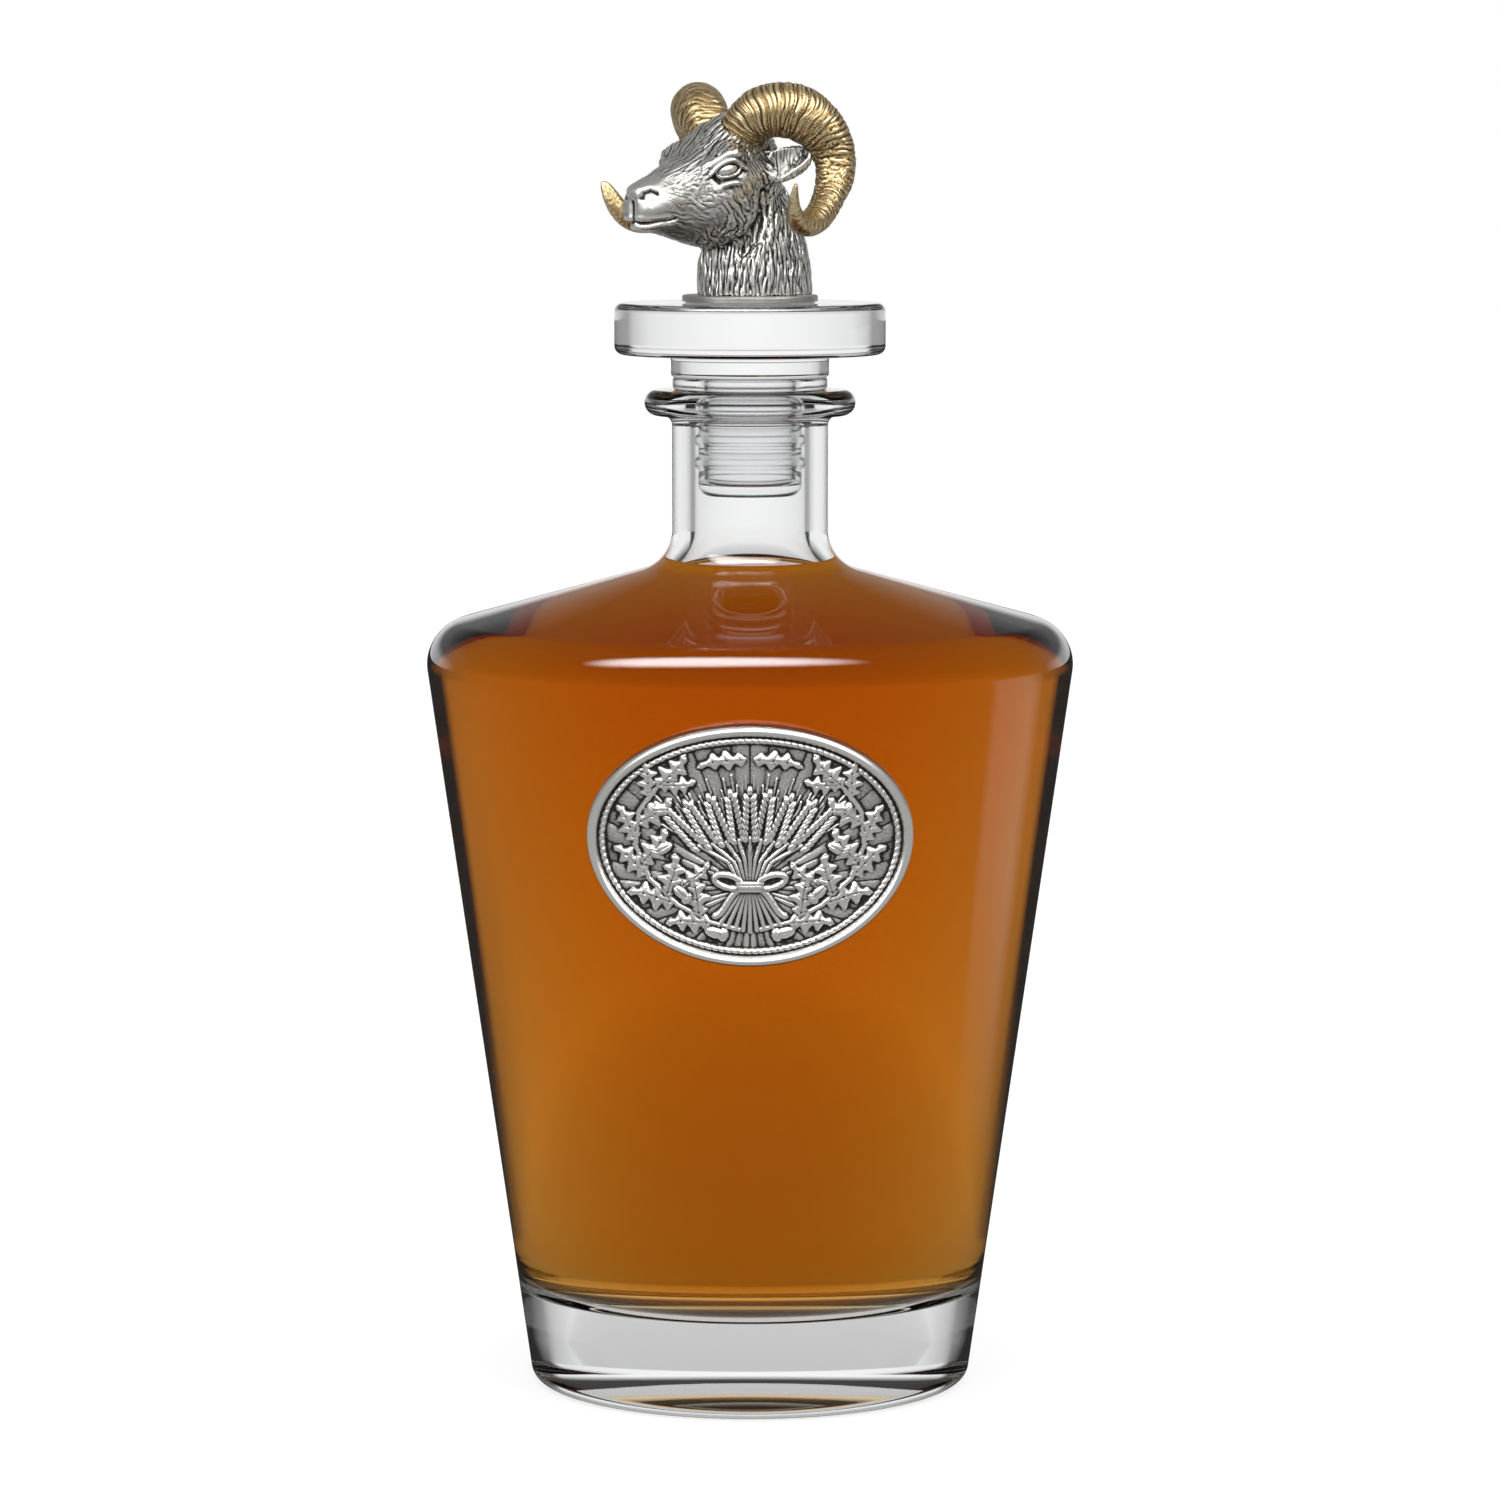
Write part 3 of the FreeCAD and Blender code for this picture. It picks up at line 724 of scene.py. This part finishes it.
gold = antiqued("antique_gold", staining=0.3, polish=0.27, rubbed=(0.84, 0.69, 0.43, 1),
                plain=(0.43, 0.29, 0.125, 1), dark=(0.08, 0.047, 0.018, 1))
for side, name in ((1, "left"), (-1, "right")):
    horn = recast("ram_horn_" + name, HORN_VOXEL)
    points = read_points(horn)
    soften(points, neighbour_average(horn), rounds=4)
    normals = read_normals(horn, points)
    line = horn_line(side)
    runs = np.linalg.norm(np.diff(line, axis=0), axis=1)
    lengths = np.concatenate([[0], np.cumsum(runs)])
    nearest = np.concatenate([((block[:, None, :] - line) ** 2).sum(2).argmin(1)
                              for block in np.array_split(points, NEAREST_BLOCKS)])
    tangents = np.gradient(line, axis=0)[nearest]
    tangents /= np.linalg.norm(tangents, axis=1)[:, None]
    offsets = points - line[nearest]
    shift = (offsets * tangents).sum(1)
    travel = lengths[nearest] + shift
    around = offsets - shift[:, None] * tangents
    around /= np.linalg.norm(around, axis=1)[:, None] + 1e-9
    rings = np.empty(len(points))
    for index, (run, turn) in enumerate(zip(travel, around)):
        sway = noise.noise((turn[0] * 0.9 + run * 0.12, turn[1] * 0.9, turn[2] * 0.9 + 40 * side))
        where = run + 0.9 * sway
        broad = noise.noise((where / BROAD_RING, turn[0] * 0.5 + 7, turn[1] * 0.5 + turn[2] * 0.3))
        fine = noise.noise((where / FINE_RING, turn[0] * 1.6 + 30, turn[1] * 1.6 + turn[2]))
        rings[index] = min(1.0, 3.0 * abs(broad)) * 0.5 + min(1.0, 3.0 * abs(fine)) * 0.5
    share = travel / lengths[-1]
    ringed = 0.35 + 0.65 * (1 - step(0.66, 0.82, share))
    points += normals * (RING_DEPTH * ringed * (rings - 0.97) * step(-0.01, 0.05, 1 - share))[:, None]
    normals = read_normals(horn, points)
    store(horn, "recess", np.clip(hollows(horn, points, normals, rounds=3) * 9, -1, 1))
    horn.transform(HEAD_FRAME)
    piece = cast("ram_horn_casting_" + name, horn, gold)
    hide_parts("ram_horn_" + name)
    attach(piece, "stopper")

# Medallion
# Oval pewter casting, curved to the bottle and stuck on with a clear pad. A polished rim and a rope border
# frame a tied sheaf of barley between two oak sprigs, with the ground darkened and the high places rubbed
# bright.
OVAL = np.array((29.5, 22.3))
MEDALLION_HEIGHT = 109.0
PLATE_BACK = 0.46
PLATE = 1.4
RIM_RISE = 1.4
RIM_WIDTH = 1.9
FACE_RINGS = 112
SIDE_RINGS = 4
BACK_RINGS = 8
MEDALLION_SEGMENTS = 720

shares = np.concatenate([
    np.linspace(0, 1, FACE_RINGS),
    np.ones(SIDE_RINGS),
    np.linspace(1, 0, BACK_RINGS)[1:],
])
turns = np.linspace(0, 2 * math.pi, MEDALLION_SEGMENTS + 1)
ring_grid, turn_grid = np.meshgrid(shares, turns, indexing="ij")
across = ring_grid * OVAL[0] * np.cos(turn_grid)
upward = ring_grid * OVAL[1] * np.sin(turn_grid)


def oval_inset(across, upward):
    """Distance inwards from the medallion's edge."""
    share = np.hypot(across / OVAL[0], upward / OVAL[1])
    slope = np.hypot(across / OVAL[0] ** 2, upward / OVAL[1] ** 2) / np.maximum(share, 1e-6)
    return (1 - share) / np.maximum(slope, 1e-6)


def turned_frame(centre, angle):
    """Coordinates along and across a direction from a place on the medallion, both sides alike."""
    along = (np.abs(across) - centre[0]) * math.cos(angle) + (upward - centre[1]) * math.sin(angle)
    aside = -(np.abs(across) - centre[0]) * math.sin(angle) + (upward - centre[1]) * math.cos(angle)
    return along, aside


def dome(along, aside, half_length, half_width):
    """Smooth oval dome from 0 at its edge to 1 at its top."""
    return np.sqrt(np.clip(1 - (along / half_length) ** 2 - (aside / half_width) ** 2, 0, 1))


def seed_shape(centre, angle, half_length, half_width):
    """Dome with a crease along it."""
    along, aside = turned_frame(centre, angle)
    return dome(along, aside, half_length, half_width) * (1 - 0.22 * ridge(aside, 0, 0.13))


def stem_shape(line, radius):
    """Round stem along a line of places, from 0 at its edge to 1 on its back."""
    nearest = np.full(across.shape, 1e9)
    for (start_x, start_y), (end_x, end_y) in zip(line[:-1], line[1:]):
        run_x = end_x - start_x
        run_y = end_y - start_y
        share = ((np.abs(across) - start_x) * run_x + (upward - start_y) * run_y) / (run_x ** 2 + run_y ** 2)
        share = np.clip(share, 0, 1)
        nearest = np.minimum(nearest, np.hypot(np.abs(across) - start_x - share * run_x,
                                               upward - start_y - share * run_y))
    return np.sqrt(np.clip(1 - (nearest / radius) ** 2, 0, 1))


def oak_leaf(base, angle, length, width):
    """Lobed leaf with a sunk midrib and side veins, from 0 at its edge."""
    along, aside = turned_frame(base, angle)
    share = np.clip(along / length, 0, 1)
    aside = aside - 0.12 * length * np.sin(math.pi * share) * share
    lobes = 0.72 + 0.28 * np.cos(2 * math.pi * (3.6 * share - 0.35))
    half = width * np.sin(math.pi * share ** 0.72) ** 0.7 * lobes + 0.02
    inside = np.clip(1 - np.abs(aside) / half, 0, 1) * ((along > 0) & (along < length))
    body = inside ** 0.55 * (0.6 + 0.4 * share)
    veins = np.abs(((share * 3.6 - 0.35 - 0.55 * np.abs(aside) / width) % 1.0) - 0.5)
    body *= 1 - 0.32 * ridge(aside, 0, 0.16) - 0.22 * ridge(veins, 0.5, 0.07)
    return body


relief = np.zeros(across.shape)


def raise_to(shape, base, rise):
    """Lays a shape on the relief where it stands higher."""
    np.maximum(relief, np.where(shape > 0, base + rise * shape, 0), out=relief)


# oak sprigs, the same on both sides: twig, leaves and acorns
TWIG = [(2.0, -15.4), (7.0, -14.2), (13.0, -11.2), (18.2, -6.6), (20.6, -0.6), (20.0, 5.4), (16.6, 10.6)]
TWIG_RADIUS = 0.5
LEAVES = [
    ((7.0, -14.2), -5, 8.2, 2.5), ((9.0, -13.2), 75, 8.4, 2.6), ((13.6, -10.8), 8, 8.6, 2.7),
    ((15.0, -9.8), 100, 8.4, 2.7), ((18.6, -6.0), 38, 7.6, 2.5), ((19.4, -4.0), 122, 8.2, 2.6),
    ((20.6, 0.2), 62, 7.0, 2.4), ((20.2, 3.4), 140, 8.0, 2.6), ((18.2, 8.6), 82, 6.4, 2.2),
    ((16.6, 10.4), 128, 8.2, 2.5), ((16.2, 10.8), 170, 6.6, 2.1), ((0.7, 16.2), -12, 9.0, 1.9),
    ((12.4, -7.8), 136, 7.0, 2.0),
]
ACORNS = [((11.2, -9.8), 40), ((17.0, -1.6), 150), ((17.6, 6.2), 175), ((4.8, -16.4), 12)]
NUT_OFFSET = 1.5
raise_to(stem_shape(TWIG, TWIG_RADIUS), base=0.1, rise=0.45)
for base, angle, length, width in LEAVES:
    raise_to(oak_leaf(base, math.radians(angle), length, width), base=0.15, rise=0.95)
for place, angle in ACORNS:
    turn = math.radians(angle)
    nut = (place[0] + NUT_OFFSET * math.cos(turn), place[1] + NUT_OFFSET * math.sin(turn))
    raise_to(seed_shape(nut, turn, 1.9, 1.15), base=0.2, rise=0.85)
    along, aside = turned_frame(place, turn)
    cap = dome(along, aside, 1.0, 1.4)
    raise_to(cap * (0.85 + 0.15 * np.cos(along * 9) * np.cos(aside * 9)), base=0.25, rise=0.85)

# sheaf: stalks, ears with their awns, and the band that ties them
TIE_HEIGHT = -7.4
SPREADS = (0.0, 0.2, 0.42, 0.66, 0.9)
SEED_ROWS = 8
AWN_ROWS = (2, 4, 6)
for spread in SPREADS:
    stalk = [(6.2 * spread, -15.8 + 1.2 * spread), (0.9 * spread + 0.1, TIE_HEIGHT)]
    raise_to(stem_shape(stalk, 0.42), base=0.2, rise=0.45)
    reach = np.array((10.2 * spread, 1.6 - 1.8 * spread))
    straw = [(1.5 * spread + 0.05, TIE_HEIGHT), (4.4 * spread, TIE_HEIGHT + 4.6), tuple(reach)]
    raise_to(stem_shape(straw, 0.36), base=0.2, rise=0.45)
    lean = math.radians(90 - 50 * spread)
    ahead = np.array((math.cos(lean), math.sin(lean)))
    aside_step = np.array((-ahead[1], ahead[0]))
    for row in range(SEED_ROWS):
        for hand in (-1, 1):
            seed = reach + ahead * (1.05 * row + 0.5 * (hand > 0)) + aside_step * hand * (0.95 - 0.05 * row)
            raise_to(seed_shape(seed, lean + hand * 0.42, 0.98, 0.58), base=0.35, rise=0.75 - 0.2 * spread)
            if row in AWN_ROWS:
                tip = seed + ahead * 5.2 + aside_step * hand * (1.9 - 0.3 * row)
                raise_to(stem_shape([tuple(seed), tuple(tip)], 0.17), base=0.16, rise=0.22)
    raise_to(seed_shape(reach + ahead * 8.7, lean, 0.9, 0.55), base=0.35, rise=0.7)
band = np.clip(1 - (np.abs(across) / 2.6) ** 8, 0, 1) * np.clip(1 - ((upward - TIE_HEIGHT) / 1.15) ** 4, 0, 1)
raise_to(band * (0.9 + 0.1 * np.cos((upward - TIE_HEIGHT) * 7.5)), base=0.5, rise=0.6)
bow = [(3.9 - 2.5 * math.cos(turn), TIE_HEIGHT + 0.9 + 1.2 * math.sin(turn) - 0.5 * math.cos(turn))
       for turn in np.linspace(0, 2 * math.pi, 25)]
tail = [(1.2 + 5.0 * run, TIE_HEIGHT - 0.5 - 4.6 * run + 0.7 * math.sin(5.5 * run))
        for run in np.linspace(0, 1, 12)]
for line, radius in ((bow, 0.6), (tail, 0.65)):
    raise_to(stem_shape(line, radius), base=0.35, rise=0.5)

# rays that fan out behind the sheaf, rope border and polished rim
RAYS = 24
ROPE_INSET = 2.75
ROPE_HALF_WIDTH = 0.58
ROPE_PITCH = 1.35
ROPE_LAY_START = 2.7
ROPE_LEAN = 0.55
GROUND_GRAIN = 0.035
GRAIN_INSET = 2.2
fan = np.arctan2(np.abs(across), upward - TIE_HEIGHT)
rays = np.abs(np.sin(RAYS * fan)) ** 0.6 * (0.75 + 0.25 * np.cos(2 * RAYS / 3 * fan))
raise_to(rays, base=0.0, rise=0.3)
inset = oval_inset(across, upward)
edge_steps = np.hypot(np.diff(OVAL[0] * np.cos(turns)), np.diff(OVAL[1] * np.sin(turns)))
arc = np.concatenate([[0], np.cumsum(edge_steps)])
lay = np.abs(np.sin(math.pi * (arc[None, :] / ROPE_PITCH + (inset - ROPE_LAY_START) * ROPE_LEAN)))
rope = np.sqrt(np.clip(1 - ((inset - ROPE_INSET) / ROPE_HALF_WIDTH) ** 2, 0, 1))
raise_to(rope * (0.55 + 0.45 * np.sqrt(lay)), base=0.1, rise=0.62)
ground = np.array([noise.noise((x * 2.6, y * 2.6, 3.0)) + 0.6 * noise.noise((x * 5.3, y * 5.3, 9.0))
                   for x, y in zip(across.ravel(), upward.ravel())]).reshape(across.shape)
relief += GROUND_GRAIN * ground * (inset > GRAIN_INSET)
rim = RIM_RISE - 0.8 * (np.abs(2 * inset / RIM_WIDTH - 1)) ** 2.2
face = PLATE + np.where(inset < RIM_WIDTH, rim, relief)
for number in range(SIDE_RINGS):
    face[FACE_RINGS + number] = PLATE * (1 - (number + 0.5) / (SIDE_RINGS - 0.5)) * 1.45
face[FACE_RINGS + SIDE_RINGS:] = 0

# lay the flat design on the tapered glass, square to it at the medallion's centre
LAYING_ROUNDS = 6
MEDALLION_MERGE = 0.004
RIM_POLISH = 0.45
FACE_POLISH = 0.12
facing = np.array((0, -math.cos(TAPER), -math.sin(TAPER)))
rising = np.array((0, -math.sin(TAPER), math.cos(TAPER)))
centre = np.array((0, -body_radius(MEDALLION_HEIGHT), MEDALLION_HEIGHT))
flat = centre + across[..., None] * np.array((1, 0, 0)) + upward[..., None] * rising
lift = np.zeros(across.shape)
for _ in range(LAYING_ROUNDS):
    spot = flat + lift[..., None] * facing
    wall = BASE_RADIUS + spot[..., 2] * math.tan(TAPER) + (PLATE_BACK + face) / math.cos(TAPER)
    lift += (wall - np.hypot(spot[..., 0], spot[..., 1])) * math.cos(TAPER)
places = (flat + lift[..., None] * facing) * MM
casting = bmesh.new()
bmesh.ops.create_grid(casting, x_segments=MEDALLION_SEGMENTS, y_segments=len(shares) - 1, size=1)
for vert in casting.verts:
    column = round((vert.co.x + 1) / 2 * MEDALLION_SEGMENTS)
    row = round((vert.co.y + 1) / 2 * (len(shares) - 1))
    vert.co = places[row, column]
bmesh.ops.remove_doubles(casting, verts=casting.verts[:], dist=MEDALLION_MERGE * MM)
bmesh.ops.recalc_face_normals(casting, faces=casting.faces[:])
medallion = finished("medallion_casting", casting, pewter)
points = read_points(medallion.data) / MM
normals = read_normals(medallion.data, points * MM)
on_rim = oval_inset(points[:, 0], (points - centre) @ rising) < RIM_WIDTH
recess = hollows(medallion.data, points, normals, rounds=4) * 8.0
recess += hollows(medallion.data, points, normals, rounds=40) * 1.6
store(medallion.data, "recess", np.clip(recess - np.where(on_rim, RIM_POLISH, FACE_POLISH), -1, 1))
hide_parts("medallion")
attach(medallion, "bottle")

# Studio
# Plain white floor and surround with soft lights in it, a lamp above, and a camera at the photograph's place.
# The light that glass lets through or mirrors has its own levels: dark cards beside the background draw the
# glass's edges, a pale card at the right lies along its side, and near the bottle the floor that glass sees
# is painted darker as a painted shadow of the bottle.
CARD_BLACK = 0.03
DARK_CARDS = [
    (0.0, 1.0), (0.12, 0.97), (0.27, 0.86), (0.3, CARD_BLACK), (0.6, CARD_BLACK), (0.7, 0.5), (1.0, 0.6),
]
GREY_CARDS = [
    (0.0, 1.0), (0.08, 0.95), (0.2, 0.83), (0.27, 0.6), (0.3, 0.36), (0.6, 0.3), (0.7, 0.5), (1.0, 0.6),
]
PALE_CARD = [
    (0.0, CARD_BLACK), (0.3, CARD_BLACK), (0.35, 0.6), (0.465, 0.6), (0.49, CARD_BLACK), (1.0, CARD_BLACK),
]
FLOOR_SIZE = 6
FLOOR_SEEN = 1.12
FLOOR_IN_METAL = 0.42
# grey of the floor that glass sees next to the bottle: a painted shadow of the bottle
PAINTED_SHADOW_THROUGH_GLASS = 0.58
FLOOR_GLOW = 0.7


def azimuth(nodes, links, vector):
    """Share of a half turn from behind, 0, to the camera, 1, with the left below 0; and the height."""
    parts = nodes.new("ShaderNodeSeparateXYZ")
    links.new(vector, parts.inputs["Vector"])
    turn = reckoned(nodes, links, "ARCTAN2", parts.outputs["X"], parts.outputs["Y"])
    return reckoned(nodes, links, "DIVIDE", turn, math.pi), parts.outputs["Z"]


def grey_ramp(nodes, links, share, stops):
    """Greys along a share from 0 to 1."""
    ramp = nodes.new("ShaderNodeValToRGB")
    elements = ramp.color_ramp.elements
    for position, grey in stops[1:-1]:
        elements.new(position).color = (grey, grey, grey, 1)
    for element, (_, grey) in ((elements[0], stops[0]), (elements[-1], stops[-1])):
        element.color = (grey, grey, grey, 1)
    links.new(share, ramp.inputs["Fac"])
    return ramp.outputs["Color"]


def chosen(nodes, links, share, usual, special):
    """Mixes two colours; a plain number is a grey."""
    choice = nodes.new("ShaderNodeMix")
    choice.data_type = "RGBA"
    links.new(share, choice.inputs["Factor"])
    for socket, colour in (("A", usual), ("B", special)):
        if isinstance(colour, float):
            choice.inputs[socket].default_value = (colour, colour, colour, 1)
        else:
            links.new(colour, choice.inputs[socket])
    return choice.outputs["Result"]


floor_shape = bmesh.new()
bmesh.ops.create_grid(floor_shape, x_segments=1, y_segments=1, size=FLOOR_SIZE)
floor_white, nodes, links, shader = new_material("floor_white", Base_Color=(0.9, 0.9, 0.9, 1), Roughness=0.9)
light_path = nodes.new("ShaderNodeLightPath").outputs
place = nodes.new("ShaderNodeTexCoord").outputs["Object"]
side, _ = azimuth(nodes, links, place)
measure = nodes.new("ShaderNodeVectorMath")
measure.operation = "LENGTH"
links.new(place, measure.inputs[0])
distance = measure.outputs["Value"]
# glass sees the floor painted darker near the bottle, a painted shadow of it that fades out into the far
# cards
painted_shadow_fade = share_between(nodes, links, distance, 0.1, 2.2)
far_grey = grey_ramp(nodes, links, reckoned(nodes, links, "ABSOLUTE", side), GREY_CARDS)
seen_through_with_painted_shadow = chosen(nodes, links, painted_shadow_fade, PAINTED_SHADOW_THROUGH_GLASS, far_grey)
on_card = share_between(nodes, links, distance, 0.18, 0.4)
pale_card = chosen(nodes, links, on_card, CARD_BLACK, grey_ramp(nodes, links, side, PALE_CARD))
shown = chosen(nodes, links, light_path["Is Singular Ray"], FLOOR_IN_METAL, pale_card)
shown = chosen(nodes, links, light_path["Is Transmission Ray"], shown, seen_through_with_painted_shadow)
shown = chosen(nodes, links, light_path["Is Camera Ray"], shown, FLOOR_SEEN)
shine = nodes.new("ShaderNodeEmission")
links.new(shown, shine.inputs["Color"])
glowing = reckoned(nodes, links, "MULTIPLY_ADD", light_path["Is Camera Ray"], FLOOR_GLOW,
                   light_path["Is Glossy Ray"], clamp=True)
glowing = reckoned(nodes, links, "MAXIMUM", glowing, light_path["Is Transmission Ray"])
floor_light = nodes.new("ShaderNodeMixShader")
links.new(glowing, floor_light.inputs["Fac"])
links.new(shader.outputs["BSDF"], floor_light.inputs[1])
links.new(shine.outputs["Emission"], floor_light.inputs[2])
links.new(floor_light.outputs["Shader"], nodes["Material Output"].inputs["Surface"])
studio_floor = finished("studio_floor", floor_shape, floor_white)

# surround: what the camera, the metal and the glass each see of it
MIRROR_BLACK = 0.04
MIRROR_CARDS = [(0.0, 0.25), (0.2, 0.25), (0.28, MIRROR_BLACK), (1.0, MIRROR_BLACK)]
MIRROR_SKYLINE = [(0.0, 0.95), (0.2, 0.95), (0.28, MIRROR_BLACK), (1.0, MIRROR_BLACK)]
SOFT_GREYS = [(0.0, 0.45), (0.35, 0.3), (0.6, 0.38), (1.0, 0.38)]
SOFTBOXES = [
    ((-0.62, -0.6, 0.5), 0.84, 2.7),
    ((0.65, -0.45, 0.65), 0.84, 2.9),
    ((0.1, -0.75, 0.65), 0.76, 2.1),
]
SOFT_EDGE = 0.12
ABOVE_SEEN = 0.45
ABOVE_MIRRORED = 0.06
SKY_ON_FLOOR = 0.8
world = bpy.data.worlds.new("studio_surround")
bpy.context.scene.world = world
world.use_nodes = True
nodes = world.node_tree.nodes
links = world.node_tree.links
direction = nodes.new("ShaderNodeTexCoord").outputs["Generated"]
side, height = azimuth(nodes, links, direction)
side = reckoned(nodes, links, "ABSOLUTE", side)
light_path = nodes.new("ShaderNodeLightPath").outputs
low = share_between(nodes, links, height, 0.42, 0.22)
skyline = share_between(nodes, links, height, 0.02, 0.06)
horizon = share_between(nodes, links, height, 0.16, 0.08)


def softbox(shown, towards, edge, strength, width=1.0):
    """Lays a soft light over the surround in one direction, round or wide."""
    squeeze = nodes.new("ShaderNodeVectorMath")
    squeeze.operation = "MULTIPLY"
    squeeze.inputs[1].default_value = (1 / width, 1, 1)
    unit = nodes.new("ShaderNodeVectorMath")
    unit.operation = "NORMALIZE"
    facing = nodes.new("ShaderNodeVectorMath")
    facing.operation = "DOT_PRODUCT"
    facing.inputs[1].default_value = Vector((towards[0] / width, towards[1], towards[2])).normalized()
    links.new(direction, squeeze.inputs[0])
    links.new(squeeze.outputs["Vector"], unit.inputs[0])
    links.new(unit.outputs["Vector"], facing.inputs[0])
    inside = share_between(nodes, links, facing.outputs["Value"], edge, min(1.0, edge + SOFT_EDGE),
                           "SMOOTHSTEP")
    return chosen(nodes, links, inside, shown, strength)


soft = grey_ramp(nodes, links, side, SOFT_GREYS)
for towards, edge, strength in SOFTBOXES:
    soft = softbox(soft, towards, edge, strength)
through = chosen(nodes, links, skyline, grey_ramp(nodes, links, side, GREY_CARDS),
                 grey_ramp(nodes, links, side, DARK_CARDS))
mirrored_before = reckoned(nodes, links, "MINIMUM", light_path["Glossy Depth"], 1.0)
above = chosen(nodes, links, mirrored_before, ABOVE_SEEN, ABOVE_MIRRORED)
through = chosen(nodes, links, low, above, through)
mirrored = chosen(nodes, links, low, MIRROR_BLACK, grey_ramp(nodes, links, side, MIRROR_CARDS))
mirrored = chosen(nodes, links, horizon, mirrored, grey_ramp(nodes, links, side, MIRROR_SKYLINE))
mirrored = softbox(mirrored, towards=(-0.2, -0.26, 0.97), edge=0.955, strength=18.0, width=2.6)
shown = chosen(nodes, links, light_path["Is Singular Ray"], soft, mirrored)
shown = chosen(nodes, links, light_path["Is Transmission Ray"], shown, through)
shown = chosen(nodes, links, light_path["Is Diffuse Ray"], shown, SKY_ON_FLOOR)
shown = chosen(nodes, links, light_path["Is Camera Ray"], shown, 1.0)
links.new(shown, nodes["Background"].inputs["Color"])

# lamp and camera
LAMP_PLACE = (0.0, -0.3, 1.1)
LAMP_AIM = Vector((0, 0, 0.13))
SENSOR_WIDTH = 36
FOCAL_PIXELS = 6026
PHOTO_PIXELS = 1500
CAMERA_PLACE = (0, -1.130, 0.240)
CAMERA_PITCH = math.radians(90 - 6.07)
lamp = bpy.data.lights.new("lamp_above", "AREA")
lamp.shape = "RECTANGLE"
lamp.size = 1.2
lamp.size_y = 0.16
lamp.energy = 6.0
lamp_object = bpy.data.objects.new("lamp_above", lamp)
lamp_object.location = LAMP_PLACE
lamp_object.rotation_euler = (LAMP_AIM - lamp_object.location).to_track_quat("-Z", "Y").to_euler()
lamp_object.visible_transmission = False
lamp_object.visible_glossy = False
bpy.context.scene.collection.objects.link(lamp_object)

camera = bpy.data.cameras.new("studio_camera")
camera.sensor_width = SENSOR_WIDTH
camera.lens = SENSOR_WIDTH * FOCAL_PIXELS / PHOTO_PIXELS
camera_object = bpy.data.objects.new("studio_camera", camera)
camera_object.location = CAMERA_PLACE
camera_object.rotation_euler = (CAMERA_PITCH, 0, 0)
bpy.context.scene.collection.objects.link(camera_object)
bpy.context.scene.camera = camera_object
bpy.context.scene.view_settings.view_transform = "Standard"
